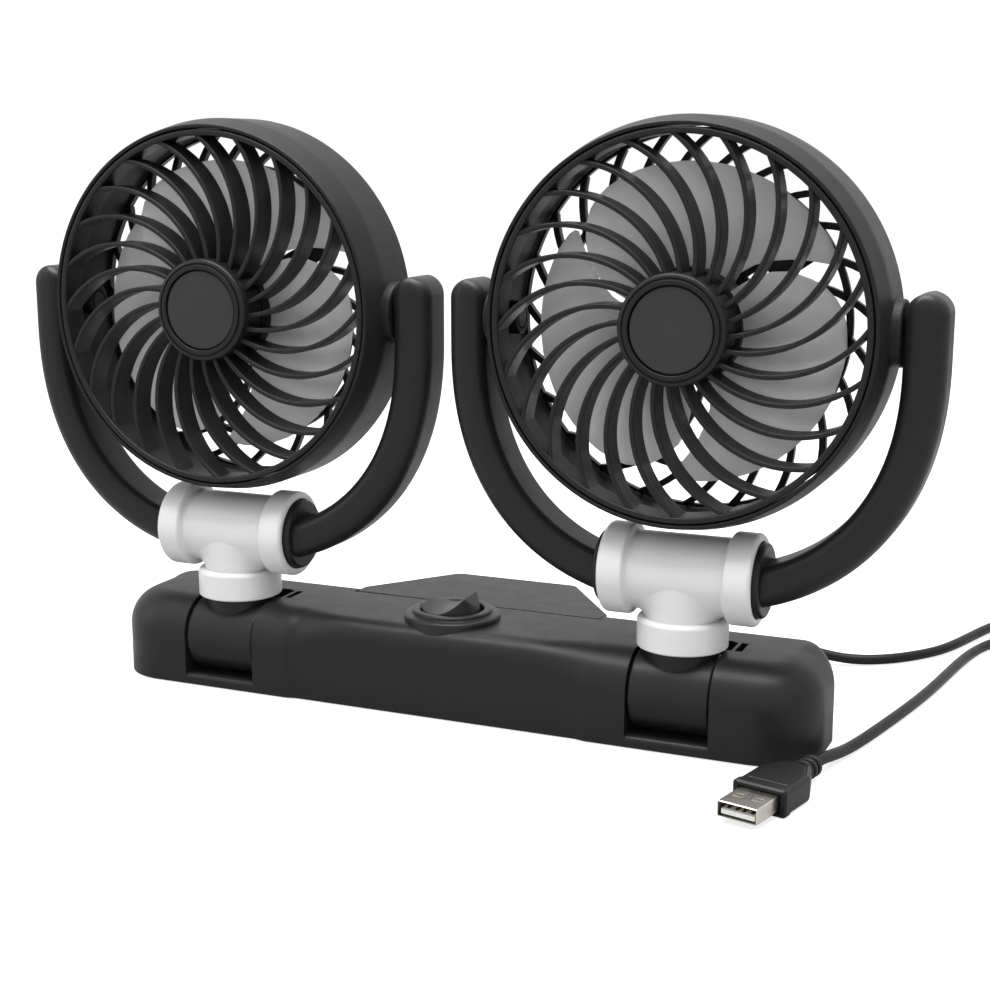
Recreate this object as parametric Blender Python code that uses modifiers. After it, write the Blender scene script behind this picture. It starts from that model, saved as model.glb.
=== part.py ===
"""Dual head car fan: two caged fan heads on swivel yokes, a stick-on base and a USB cord.

The middle of the base is at x = 0, the fronts of the heads look along -Y, and the
sticky pad lies on z = 0. The swivel stems and the pivots of the heads lie in y = 0.
"""
import math

import bmesh
import bpy
import numpy as np
from mathutils import Matrix, Vector

MM = 0.001

# General fits and cuts
GAP = 0.3 * MM
RUN_GAP = 0.4 * MM
OVERRUN = 1.0 * MM
JOIN = 0.4 * MM
SCREW_FIT = 0.2 * MM

# Where the heads and the joint axes are
ROLL_Z = 52.0 * MM
FOLD_Y = -2.5 * MM
FOLD_Z = 15.8 * MM

# Drum of a head and its rear grille
DRUM_R = 59.4 * MM
DRUM_WALL = 3.1 * MM
DRUM_FRONT = 15.9 * MM
DRUM_BACK = 12.8 * MM
DRUM_LIP_ROUND = 0.8 * MM
DRUM_BACK_ROUND = 2.4 * MM
PIVOT_PAD_R = 9.5 * MM
PIVOT_BLOCK_R = 5.0 * MM
PIVOT_BLOCK_DEPTH = 4.0 * MM
REAR_PLATE = 2.6 * MM
REAR_RING_R = 44.0 * MM
REAR_RING_WIDTH = 2.0 * MM
REAR_BAR = 2.0 * MM
REAR_RIM = 2.0 * MM

# Motor, its seat on the rear grille and its shaft
MOTOR_R = 12.2 * MM
MOTOR_LENGTH = 12.3 * MM
MOTOR_EDGE = 0.8 * MM
MOTOR_NOSE_R = 3.0 * MM
MOTOR_NOSE = 1.3 * MM
SHAFT_R = 1.0 * MM
SHAFT_LENGTH = 8.6 * MM
SHAFT_SINK = 3.0 * MM
SEAT_WALL = 1.6 * MM
SEAT_DEPTH = 5.0 * MM
SEAT_FLOOR = 1.4 * MM

# Curved grille bars: each an arc that leaves the hub at a lean and reaches the drum a sweep further
BAR_COUNT = 24
BAR_LEAN_DEG = 10.0
BAR_SWEEP_DEG = 39.67
BAR_ROOT_R = 15.6 * MM
BAR_PHASE_DEG = 10.0

# Front grille, a snap-in moulding
FRONT_RING_WIDTH = 2.0 * MM
FRONT_RING_DEPTH = 9.0 * MM
FRONT_BAR = 1.5 * MM
FRONT_BAR_DEPTH = 7.6 * MM
FRONT_BAR_SET_BACK = 0.6 * MM
HUB_R = 16.1 * MM
HUB_PROUD = 3.2 * MM
HUB_EDGE = 1.6 * MM
HUB_EDGE_SHARE = 0.3
DISC_R = 12.4 * MM
DISC_THICK = 1.2 * MM
DISC_SUNK = 0.5 * MM
HUB_HOLLOW_R = 13.6 * MM
HUB_HOLLOW = 5.2 * MM

# Impeller
ROTOR_R = 17.0 * MM
ROTOR_FRONT = 7.2 * MM
ROTOR_BACK = 5.0 * MM
ROTOR_WALL = 1.8 * MM
ROTOR_EDGE = 1.5 * MM
ROTOR_BOSS_R = 3.4 * MM
BLADE_COUNT = 3
BLADE_TIP_GAP = 5.8 * MM
BLADE_THICK = 1.6 * MM
BLADE_SWEEP_DEG = 124.0
BLADE_RISE = 9.0 * MM
BLADE_PHASE_DEG = 90.0

# Motor lead clip on the rear grille
CLIP_LENGTH = 15.0 * MM
CLIP_WIDTH = 7.0 * MM
CLIP_THICK = 2.6 * MM
CLIP_EDGE = 1.0 * MM
CLIP_R = 33.0 * MM
CLIP_ANGLE_DEG = 34.0

# Yoke: two arms that plug into the tee from its two ends
YOKE_DRUM_GAP = 2.6 * MM
YOKES_APART = 6.6 * MM
YOKE_DROP = 8.0 * MM
PIVOT_LIFT = 8.0 * MM
ARM_WIDTH = 12.0 * MM
ARM_DEPTH = 18.0 * MM
ARM_EDGE = 4.4 * MM
ARM_RISE = 13.5 * MM
BARREL_R = 9.2 * MM
FLANGE_R = 11.2 * MM
FLANGE_PROUD = 2.6 * MM
FLANGE_DEPTH = 4.4 * MM
TIE_R = 2.6 * MM
TIE_LENGTH = 24.0 * MM
PIVOT_SCREW_R = 1.5 * MM
PIVOT_HEAD_R = 3.0 * MM
PIVOT_HEAD = 1.6 * MM
PIVOT_BITE = 8.0 * MM
PIVOT_HOLE_R = 0.9 * MM

# Tee
TEE_HALF = 23.4 * MM
TEE_COLLAR_R = 13.9 * MM
TEE_COLLAR_LENGTH = 8.3 * MM
TEE_R = 11.8 * MM
TEE_EDGE = 1.2 * MM
TEE_STEP = 1.4 * MM
STEM_FOOT_Z = 29.8 * MM
STEM_COLLAR_R = 13.8 * MM
STEM_COLLAR_HEIGHT = 9.2 * MM
STEM_R = 11.6 * MM
STEM_FLOOR = 3.2 * MM

# Knuckle
KNUCKLE_R = 12.4 * MM
KNUCKLE_NECK_R = 11.3 * MM
POST_R = 8.4 * MM
PIN_R = 2.2 * MM
SWIVEL_SCREW_R = 1.5 * MM
SWIVEL_HEAD_R = 3.2 * MM
SWIVEL_HEAD = 2.2 * MM
SWIVEL_SEAT = 3.0 * MM
SWIVEL_POCKET_R = 3.7 * MM

# Base housing
BASE_END = 43.2 * MM
BASE_FRONT = 15.3 * MM
BASE_WAIST = 0.8 * MM
BASE_WAIST_HALF = 48.0 * MM
BASE_WAIST_SLOPE = 4.0 * MM
BASE_BACK = 26.0 * MM
BASE_TOP = 28.8 * MM
BASE_FRONT_ROUND = 12.0 * MM
BASE_BACK_ROUND = 4.0 * MM
BASE_END_ROUND = 12.0 * MM
BASE_FRONT_CORNER = 19.0 * MM
BASE_BACK_CORNER = 12.0 * MM
BASE_WALL = 2.0 * MM
SKIRT_Z = 0.5 * MM
SLOT_WIDTH = 25.84 * MM
SLOT_LIP_Z = 4.0 * MM
SLOT_BACK = 12.6 * MM
CHEEK = 2.0 * MM
VENT_OFFSET = 3.5 * MM
VENT_WIDTH = 2.2 * MM
VENT_LENGTH = 9.0 * MM
VENT_Y = 7.2 * MM
NOTCH_WIDTH = 1.4 * MM
BOSS_R = 3.2 * MM

# Rear cover
COVER_FRONT = 20.0 * MM
COVER_BACK = 56.0 * MM
COVER_INSET = 33.3 * MM
COVER_HALF_BACK = 22.0 * MM
COVER_CORNER = 4.0 * MM

# Bottom plate, pad and screws
PAD_THICK = 1.0 * MM
PAD_MARGIN = 5.0 * MM
PLATE_THICK = 2.6 * MM
SCREW_R = 1.3 * MM
SCREW_HEAD_R = 2.6 * MM
SCREW_HEAD = 1.4 * MM
SCREW_LENGTH = 12.0 * MM
SCREW_INSET = 20.3 * MM
SCREW_Y = 14.0 * MM
SCREW_BACK_X = 14.0 * MM
SCREW_BACK_Y = 44.0 * MM

# Rocker switch and circuit board
BEZEL_R = 15.4 * MM
BEZEL_STEP_R = 12.8 * MM
BEZEL_THICK = 1.6 * MM
BEZEL_RISE = 1.5 * MM
BEZEL_EDGE = 0.7 * MM
BEZEL_Y = 2.5 * MM
BEZEL_SLEEVE_R = 11.2 * MM
BEZEL_SLEEVE = 10.0 * MM
BEZEL_WALL = 1.0 * MM
ROCKER_HALF = 7.6 * MM
ROCKER_WIDTH = 10.4 * MM
ROCKER_RISE = 4.4 * MM
ROCKER_CREST_SHARE = 0.75
ROCKER_DIP_SHARE = 0.4
ROCKER_REST_DEG = 12.0
ROCKER_PIVOT_R = 1.0 * MM
ROCKER_PIVOT_DROP = 2.2 * MM
BODY_HEIGHT = 6.0 * MM
SEAT_HALF_BACK = 46.0 * MM
SEAT_HALF_FRONT = 17.0 * MM
SEAT_FRONT = 13.9 * MM
SEAT_HEIGHT = 9.0 * MM
SEAT_EDGE = 2.5 * MM
BOARD_LENGTH = 56.0 * MM
BOARD_WIDTH = 22.0 * MM
BOARD_THICK = 1.2 * MM
BOARD_POST_R = 2.4 * MM
BOARD_POST_X = 22.0 * MM
BOARD_RISE = 4.8 * MM

# Gland, cord and coil
CORD_R = 1.75 * MM
CORD_OUT = 6.7 * MM
CORD_Z = 8.0 * MM
CORD_STEP = 9.0 * MM
GLAND_R = 3.2 * MM
GLAND_INSIDE = 3.0 * MM
GLAND_FLANGE_R = 4.4 * MM
GLAND_FLANGE = 1.2 * MM
GLAND_TAIL = 7.0 * MM
GLAND_TIP_R = 2.7 * MM
COIL_Y = 62.0 * MM
COIL_Z = 2.65 * MM
COIL_INNER_R = 13.9 * MM
COIL_PITCH = 4.6 * MM
COIL_LAYER = 4.1 * MM
COIL_TURNS = 6.25
COIL_POINTS = 24
CLIMB_TURNS = 0.5
TIE_ANGLE_DEG = -60.0
TIE_WIDTH = 6.0 * MM
TIE_THICK = 0.5 * MM
TIE_CORNER = 1.5 * MM

# The cord's route in millimetres: out of the gland to the coil, and from the coil to the plug
LEAD_ROUTE = (
    (50.7, 18.0, 8.0), (50.7, 25.0, 8.0), (50.7, 31.0, 8.0), (50.7, 36.0, 7.8), (50.7, 42.0, 6.5),
    (50.7, 48.0, 4.3), (50.7, 53.0, 2.95), (50.7, 58.2, 2.65))
TAIL_ROUTE = (
    (81.6, 89.1, 6.75), (88.5, 89.1, 6.6), (97.0, 90.2, 4.9), (107.0, 93.2, 2.7), (118.0, 98.5, 1.9),
    (128.5, 107.5, 1.9), (136.5, 119.0, 1.9), (142.0, 133.0, 1.9), (147.0, 149.0, 1.9),
    (154.5, 164.0, 1.9), (167.0, 170.5, 1.9), (178.5, 163.0, 1.9), (178.0, 151.0, 1.9),
    (166.0, 144.5, 1.9), (155.5, 138.5, 1.9), (149.5, 127.0, 1.9), (145.5, 109.0, 1.9),
    (141.5, 79.0, 1.9), (137.5, 54.0, 1.9), (133.5, 34.0, 1.9), (129.4, 15.5, 1.9), (126.1, 2.0, 2.4),
    (123.9, -7.1, 3.6), (122.7, -12.0, 4.1), (121.6, -16.7, 4.1))

# USB plug, from the cord's end to the mouth
PLUG_X = 121.53 * MM
PLUG_Y = -17.0 * MM
PLUG_Z = 4.1 * MM
PLUG_TURN_DEG = -103.7
PLUG_WIDTH = 16.4 * MM
PLUG_THICK = 8.0 * MM
PLUG_LENGTH = 24.0 * MM
PLUG_TAPER = 9.0 * MM
PLUG_TAIL_WIDTH = 8.0 * MM
PLUG_EDGE = 1.2 * MM
SHELL_WIDTH = 12.0 * MM
SHELL_THICK = 4.5 * MM
SHELL_OUT = 12.0 * MM
SHELL_SUNK = 3.0 * MM
SHELL_WALL = 0.35 * MM
LATCH_X = 5.2 * MM
LATCH_Y = 2.9 * MM
LATCH_SIZE = 2.2 * MM
TONGUE_WIDTH = 10.6 * MM
TONGUE_THICK = 1.8 * MM
TONGUE_SET_BACK = 0.6 * MM
RELIEF_LENGTH = 8.0 * MM
RELIEF_R = 3.3 * MM
RELIEF_NECK_R = 2.5 * MM
RELIEF_RIB_COUNT = 3
RELIEF_RIB_SHARE = 0.62

WELD = 0.001 * MM
FLAT_DEG = 0.05
ROUND_COUNT = 32
MEDIUM_COUNT = 18
SMALL_COUNT = 8

# Places that follow from the sizes
BLADE_TIP_R = DRUM_R - DRUM_WALL - PIVOT_BLOCK_DEPTH - BLADE_TIP_GAP
YOKE_R = DRUM_R + YOKE_DRUM_GAP + ARM_WIDTH
YOKE_ARC_Z = ROLL_Z + YOKE_R - YOKE_DROP
HEAD_Z = YOKE_ARC_Z + PIVOT_LIFT
HEAD_X = YOKE_R + YOKES_APART / 2
BASE_HALF = HEAD_X + BASE_END
COVER_HALF_FRONT = HEAD_X - COVER_INSET
CORD_X = COVER_HALF_FRONT + CORD_OUT
SCREW_X = HEAD_X - SCREW_INSET
HEADS = (("left", -HEAD_X), ("right", HEAD_X))
SIDES = (("outer", 1), ("inner", -1))
MOTOR_FRONT = DRUM_BACK - SEAT_FLOOR - GAP - MOTOR_LENGTH
PLATE_Z = PAD_THICK + GAP
PLATE_TOP = PLATE_Z + PLATE_THICK
SCREW_TOP = PLATE_Z + SCREW_LENGTH
SCREW_PLACES = ((-SCREW_X, SCREW_Y), (SCREW_X, SCREW_Y), (-SCREW_BACK_X, SCREW_BACK_Y),
                (SCREW_BACK_X, SCREW_BACK_Y))
BOARD_Z = PLATE_TOP + BOARD_RISE
BOARD_Y = COVER_FRONT - BOARD_WIDTH / 2
SPIRAL_TURNS = (COIL_TURNS - CLIMB_TURNS) / 2
COIL_R = COIL_INNER_R + COIL_PITCH * SPIRAL_TURNS
COIL_X = CORD_X + COIL_R


def clear_scene():
    for obj in list(bpy.data.objects):
        bpy.data.objects.remove(obj)


def collection(name):
    made = bpy.data.collections.new(name)
    bpy.context.scene.collection.children.link(made)
    return made


def material(name, colour, roughness, metallic=0.0, alpha=1.0):
    made = bpy.data.materials.new(name)
    made.use_nodes = True
    shader = made.node_tree.nodes["Principled BSDF"]
    shader.inputs["Base Color"].default_value = (*colour, 1.0)
    shader.inputs["Roughness"].default_value = roughness
    shader.inputs["Metallic"].default_value = metallic
    shader.inputs["Alpha"].default_value = alpha
    return made


clear_scene()
CAR_FAN = collection("dual_head_car_fan")
CUTTERS = collection("cutters")
PLASTIC = material("dark plastic", (0.04, 0.04, 0.042), 0.5)
PALE = material("pale plastic", (0.66, 0.66, 0.67), 0.4)
BLADES = material("smoke blades", (0.42, 0.42, 0.43), 0.3, alpha=0.9)
STEEL = material("plated steel", (0.55, 0.54, 0.52), 0.3, metallic=1.0)
CAN = material("motor can", (0.5, 0.5, 0.5), 0.35, metallic=1.0)
PVC = material("black PVC", (0.012, 0.012, 0.013), 0.4)
FOAM = material("pad foam", (0.05, 0.05, 0.05), 0.9)
BOARD = material("board green", (0.02, 0.12, 0.05), 0.5)


def work(mesh):
    """A shape that is still being made lies among the cutters."""
    obj = bpy.data.objects.new("shape", mesh)
    CUTTERS.objects.link(obj)
    obj.hide_render = True
    obj.display_type = "WIRE"
    return obj


def from_bmesh(bm):
    mesh = bpy.data.meshes.new("shape")
    bm.to_mesh(mesh)
    bm.free()
    return work(mesh)


def baked(obj):
    """The shape with its modifiers worked out, as a plain mesh."""
    bpy.context.view_layer.update()
    graph = bpy.context.evaluated_depsgraph_get()
    mesh = bpy.data.meshes.new_from_object(obj.evaluated_get(graph))
    bpy.data.objects.remove(obj)
    return work(mesh)


def facing_out(obj):
    """A closed shape with its points welded and its faces turned outwards."""
    bm = bmesh.new()
    bm.from_mesh(obj.data)
    bmesh.ops.remove_doubles(bm, verts=bm.verts, dist=WELD)
    bmesh.ops.recalc_face_normals(bm, faces=bm.faces)
    bm.to_mesh(obj.data)
    bm.free()
    return obj


def moved(obj, matrix):
    obj.data.transform(matrix)
    return obj


def turn(degrees, axis):
    return Matrix.Rotation(math.radians(degrees), 4, axis)


def shift(x, y, z):
    return Matrix.Translation((x, y, z))


def rod(radius, start, end, sides=MEDIUM_COUNT):
    """A cylinder from one point to another."""
    start, end = Vector(start), Vector(end)
    way = end - start
    place = Matrix.Translation((start + end) / 2) @ way.to_track_quat("Z", "Y").to_matrix().to_4x4()
    bm = bmesh.new()
    bmesh.ops.create_cone(bm, cap_ends=True, segments=sides, radius1=radius, radius2=radius,
                          depth=way.length, matrix=place)
    return from_bmesh(bm)


def block(low, high):
    """A box between two opposite corners."""
    low, high = Vector(low), Vector(high)
    bm = bmesh.new()
    place = Matrix.Translation((low + high) / 2) @ Matrix.Diagonal((*(high - low), 1.0))
    bmesh.ops.create_cube(bm, size=1.0, matrix=place)
    return from_bmesh(bm)


def turned(profile, sides=ROUND_COUNT, ring=False):
    """A shape turned about Z from (radius, height) points that run top to bottom."""
    bm = bmesh.new()
    verts = [bm.verts.new((radius, 0.0, height)) for radius, height in profile]
    for a, b in zip(verts, verts[1:]):
        bm.edges.new((a, b))
    if ring:
        bm.edges.new((verts[-1], verts[0]))
    obj = from_bmesh(bm)
    screw = obj.modifiers.new("turn", "SCREW")
    screw.steps = sides
    screw.render_steps = sides
    screw.use_merge_vertices = True
    screw.merge_threshold = WELD
    return facing_out(baked(obj))


def outline_solid(outlines, depth):
    """Closed outlines in XY, drawn as one plate with its holes, from z = 0 up."""
    curve = bpy.data.curves.new("outline", "CURVE")
    curve.dimensions = "2D"
    curve.fill_mode = "BOTH"
    curve.extrude = depth / 2
    for points in outlines:
        spline = curve.splines.new("POLY")
        spline.points.add(len(points) - 1)
        for place, (x, y) in zip(spline.points, points):
            place.co = (x, y, 0.0, 1.0)
        spline.use_cyclic_u = True
    obj = bpy.data.objects.new("outline", curve)
    CUTTERS.objects.link(obj)
    return moved(facing_out(baked(obj)), shift(0, 0, depth / 2))


STAND = Matrix(((1, 0, 0, 0), (0, 0, 1, 0), (0, 1, 0, 0), (0, 0, 0, 1)))


def standing(outlines, front, back):
    """Outlines in XZ, as seen from the front, as a plate from y = front to y = back."""
    made = moved(outline_solid(outlines, back - front), shift(0, 0, front))
    made.data.transform(STAND)
    made.data.flip_normals()
    return made


def along_x(outline, low, high):
    """An outline in YZ drawn along X."""
    made = moved(outline_solid([outline], high - low), shift(0, 0, low))
    return moved(made, turn(90, "Z") @ turn(90, "X"))


def in_triangles(obj):
    """Flat regions in as few triangles as they take, which keeps the next boolean sound."""
    bm = bmesh.new()
    bm.from_mesh(obj.data)
    bmesh.ops.remove_doubles(bm, verts=bm.verts, dist=WELD)
    bmesh.ops.dissolve_limit(bm, angle_limit=math.radians(FLAT_DEG), verts=bm.verts, edges=bm.edges)
    bmesh.ops.triangulate(bm, faces=bm.faces)
    bm.to_mesh(obj.data)
    bm.free()


def boolean(obj, tool, operation):
    in_triangles(obj)
    in_triangles(tool)
    way = obj.modifiers.new("boolean", "BOOLEAN")
    way.operation = operation
    way.solver = "EXACT"
    way.object = tool
    made = baked(obj)
    bpy.data.objects.remove(tool)
    return made


def cut(obj, *tools):
    for tool in tools:
        obj = boolean(obj, tool, "DIFFERENCE")
    return obj


def join(obj, *others):
    for other in others:
        obj = boolean(obj, other, "UNION")
    return obj


def bevelled(obj, width, segments=2, angle=40):
    way = obj.modifiers.new("edges", "BEVEL")
    way.width = width
    way.segments = segments
    way.limit_method = "ANGLE"
    way.angle_limit = math.radians(angle)
    return baked(obj)


def node(obj, name, finish, at=(0.0, 0.0, 0.0)):
    """Make a finished shape a named piece, with its origin at its joint."""
    CUTTERS.objects.unlink(obj)
    CAR_FAN.objects.link(obj)
    obj.hide_render = False
    obj.display_type = "TEXTURED"
    obj.name = name
    obj.data.name = name
    obj.data.materials.clear()
    obj.data.materials.append(finish)
    obj.location = at
    return obj


def circle(radius, sides=ROUND_COUNT, x=0.0, y=0.0):
    angles = np.linspace(0, 2 * math.pi, sides, endpoint=False)
    return [(x + radius * math.cos(a), y + radius * math.sin(a)) for a in angles]


def rounded(corners, steps=5):
    """An outline from (x, y, corner radius) points."""
    points = []
    for i, (x, y, radius) in enumerate(corners):
        here = Vector((x, y))
        if not radius:
            points.append((x, y))
            continue
        back = (Vector(corners[i - 1][:2]) - here).normalized()
        ahead = (Vector(corners[(i + 1) % len(corners)][:2]) - here).normalized()
        half = back.angle(ahead) / 2
        middle = here + (back + ahead).normalized() * radius / math.sin(half)
        first = here + back * radius / math.tan(half) - middle
        last = here + ahead * radius / math.tan(half) - middle
        for share in np.linspace(0, 1, steps + 1):
            spoke = first.lerp(last, share).normalized() * radius
            points.append(tuple(middle + spoke))
    return points


def edge_tool(radius, corner, inward, steps):
    """The outline of a rounding tool at a corner: inward is the (a, b) signs of the solid's side."""
    (a, b), (u, v) = corner, inward
    arc = []
    for angle in np.linspace(0, math.pi / 2, steps + 1):
        arc.append(Vector((a + u * radius * (1 - math.sin(angle)), b + v * radius * (1 - math.cos(angle)))))
    first = arc[0].lerp(arc[1], -0.5)
    last = arc[-1].lerp(arc[-2], -0.5)
    return [first, *arc[1:-1], last, (a - u * OVERRUN, b - v * OVERRUN)]


# Grilles


BAR_LEAN = math.radians(BAR_LEAN_DEG)
BAR_SWEEP = math.radians(BAR_SWEEP_DEG)
BAR_SIDE = Vector((-math.sin(BAR_LEAN), math.cos(BAR_LEAN)))
BAR_SPAN = (DRUM_R - DRUM_WALL) * Vector((math.cos(BAR_SWEEP), math.sin(BAR_SWEEP)))
BAR_SPAN = BAR_SPAN - Vector((BAR_ROOT_R, 0))
BAR_ARC_R = BAR_SPAN.length_squared / (2 * BAR_SPAN.dot(BAR_SIDE))


def bar_point(arc_r, radius):
    """Where a bar edge, an arc about the bar's own middle, crosses a radius."""
    mid = Vector((BAR_ROOT_R, 0)) + BAR_ARC_R * BAR_SIDE
    reach = mid.length
    inner = math.acos((reach ** 2 + arc_r ** 2 - radius ** 2) / (2 * reach * arc_r))
    angle = math.atan2(-mid.y, -mid.x) + inner
    return mid + arc_r * Vector((math.cos(angle), math.sin(angle)))


def windows(inner_r, outer_r, bar, steps, mirror=1):
    """The gaps between the curved bars, from one radius to another."""
    pitch = 2 * math.pi / BAR_COUNT
    radii = np.linspace(inner_r, outer_r, steps)
    outlines = []
    for number in range(BAR_COUNT):
        at = math.radians(BAR_PHASE_DEG) + number * pitch
        one = Matrix.Rotation(at, 2)
        other = Matrix.Rotation(at + pitch, 2)
        rise = [one @ bar_point(BAR_ARC_R - bar / 2, r) for r in radii]
        fall = [other @ bar_point(BAR_ARC_R + bar / 2, r) for r in reversed(radii)]
        top = (rise[-1] + fall[0]).normalized() * outer_r
        points = [*rise, top, *fall] if steps > 2 else [*rise, *fall]
        outlines.append([(mirror * p.x, p.y) for p in points])
    return outlines


def shroud(name, x):
    """The drum with its pivot pads, in one moulding."""
    inner = DRUM_R - DRUM_WALL
    lip, back = DRUM_LIP_ROUND, DRUM_BACK_ROUND
    wall = turned([
        (inner, DRUM_FRONT), (DRUM_R - lip, DRUM_FRONT), (DRUM_R, DRUM_FRONT - lip),
        (DRUM_R, back - DRUM_BACK), (DRUM_R - back, -DRUM_BACK), (inner, -DRUM_BACK)], ring=True)
    made = moved(wall, turn(90, "X"))
    pad_end = YOKE_R - ARM_WIDTH - RUN_GAP
    for side in (-1, 1):
        pad = rod(PIVOT_PAD_R, (side * (DRUM_R - DRUM_WALL / 2), 0, 0), (side * pad_end, 0, 0))
        lump = rod(PIVOT_BLOCK_R, (side * (inner - PIVOT_BLOCK_DEPTH), 0, 0),
                   (side * (inner + JOIN), 0, 0), SMALL_COUNT)
        made = join(made, pad, lump)
        seat_x = inner - PIVOT_BLOCK_DEPTH + PIVOT_HEAD + GAP
        made = cut(made, rod(PIVOT_HEAD_R + GAP, (side * (inner - PIVOT_BLOCK_DEPTH - OVERRUN), 0, 0),
                             (side * seat_x, 0, 0), SMALL_COUNT))
        made = cut(made, rod(PIVOT_SCREW_R + SCREW_FIT, (side * (seat_x - OVERRUN), 0, 0),
                             (side * (pad_end + OVERRUN), 0, 0), SMALL_COUNT))
    return node(made, "shroud_" + name, PLASTIC, (x, 0, HEAD_Z))


def rear_grille(name, x):
    """The flat grille that closes the drum's back, with the motor's seat."""
    rim = DRUM_R - DRUM_WALL - GAP
    ring_in, ring_out = REAR_RING_R - REAR_RING_WIDTH / 2, REAR_RING_R + REAR_RING_WIDTH / 2
    hub = ROTOR_R + REAR_BAR
    holes = windows(hub, ring_in, REAR_BAR, 2, -1) + windows(ring_out, rim - REAR_RIM, REAR_BAR, 2, -1)
    face = DRUM_BACK - REAR_PLATE
    plate = standing([circle(rim)] + holes, face, DRUM_BACK)
    seat_r = MOTOR_R + GAP
    seat = rod(seat_r + SEAT_WALL, (0, face - SEAT_DEPTH, 0), (0, face + JOIN, 0))
    made = cut(join(plate, seat), rod(seat_r, (0, face - SEAT_DEPTH - OVERRUN, 0),
                                      (0, DRUM_BACK - SEAT_FLOOR, 0)))
    return node(made, "rear_grille_" + name, PLASTIC, (x, 0, HEAD_Z))


def front_grille(name, x):
    outer = DRUM_R - DRUM_WALL - RUN_GAP
    inner = outer - FRONT_RING_WIDTH
    front, back = -DRUM_FRONT, FRONT_RING_DEPTH - DRUM_FRONT
    ring = turned([(inner, -front), (outer, -front), (outer, -back), (inner, -back)], ring=True)
    moved(ring, turn(90, "X"))
    face = front + FRONT_BAR_SET_BACK
    holes = windows(HUB_R - JOIN, inner + JOIN, FRONT_BAR, 3)
    bars = standing([circle((inner + outer) / 2)] + holes, face, face + FRONT_BAR_DEPTH)
    tip = DRUM_FRONT + HUB_PROUD
    chamfer = HUB_EDGE * HUB_EDGE_SHARE
    cap = turned([(0, tip), (HUB_R - HUB_EDGE, tip), (HUB_R - chamfer, tip - chamfer),
                  (HUB_R, tip - HUB_EDGE), (HUB_R, -face - JOIN), (0, -face - JOIN)], MEDIUM_COUNT)
    moved(cap, turn(90, "X"))
    made = join(ring, bars, cap)
    pocket = -tip + DISC_SUNK + DISC_THICK + GAP
    made = cut(made, rod(DISC_R + GAP, (0, -tip - OVERRUN, 0), (0, pocket, 0)))
    hollow = face + FRONT_BAR_DEPTH
    made = cut(made, rod(HUB_HOLLOW_R, (0, hollow - HUB_HOLLOW, 0), (0, hollow + OVERRUN, 0)))
    node(made, "front_grille_" + name, PLASTIC, (x, 0, HEAD_Z))
    disc = rod(DISC_R, (0, pocket - GAP - DISC_THICK, 0), (0, pocket - GAP, 0))
    node(disc, "hub_disc_" + name, PLASTIC, (x, 0, HEAD_Z))


# Motor and impeller


def motor(name, x):
    back = MOTOR_FRONT + MOTOR_LENGTH
    can = bevelled(rod(MOTOR_R, (0, MOTOR_FRONT, 0), (0, back, 0)), MOTOR_EDGE, 1)
    can = join(can, rod(MOTOR_NOSE_R, (0, MOTOR_FRONT - MOTOR_NOSE, 0), (0, MOTOR_FRONT + JOIN, 0),
                        SMALL_COUNT))
    shaft_back = MOTOR_FRONT + SHAFT_SINK
    can = cut(can, rod(SHAFT_R + GAP, (0, MOTOR_FRONT - MOTOR_NOSE - OVERRUN, 0),
                       (0, shaft_back + GAP, 0), SMALL_COUNT))
    node(can, "motor_" + name, CAN, (x, 0, HEAD_Z))
    shaft = rod(SHAFT_R, (0, shaft_back - SHAFT_LENGTH, 0), (0, shaft_back, 0), SMALL_COUNT)
    node(shaft, "motor_shaft_" + name, STEEL, (x, 0, HEAD_Z))


BLADE_EDGE_SHARES = ((0.0, 0.70), (0.3, 0.86), (0.55, 0.96), (0.75, 1.0), (0.88, 0.95), (0.97, 0.84))
BLADE_TIP_SHARES = (0.66, 0.34, 0.0, -0.34, -0.66)


def blade_outline(half_angle, phase):
    """The petal of a blade as seen from the front."""
    root = ROTOR_R - ROTOR_WALL / 2
    points = []
    for side in (-1, 1):
        edge = [(root + share * (BLADE_TIP_R - root), side * turn_share * half_angle)
                for share, turn_share in BLADE_EDGE_SHARES]
        points += edge if side < 0 else edge[::-1]
        if side < 0:
            points += [(BLADE_TIP_R, -share * half_angle) for share in BLADE_TIP_SHARES]
    return [(r * math.cos(phase + a), r * math.sin(phase + a)) for r, a in points]


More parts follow.
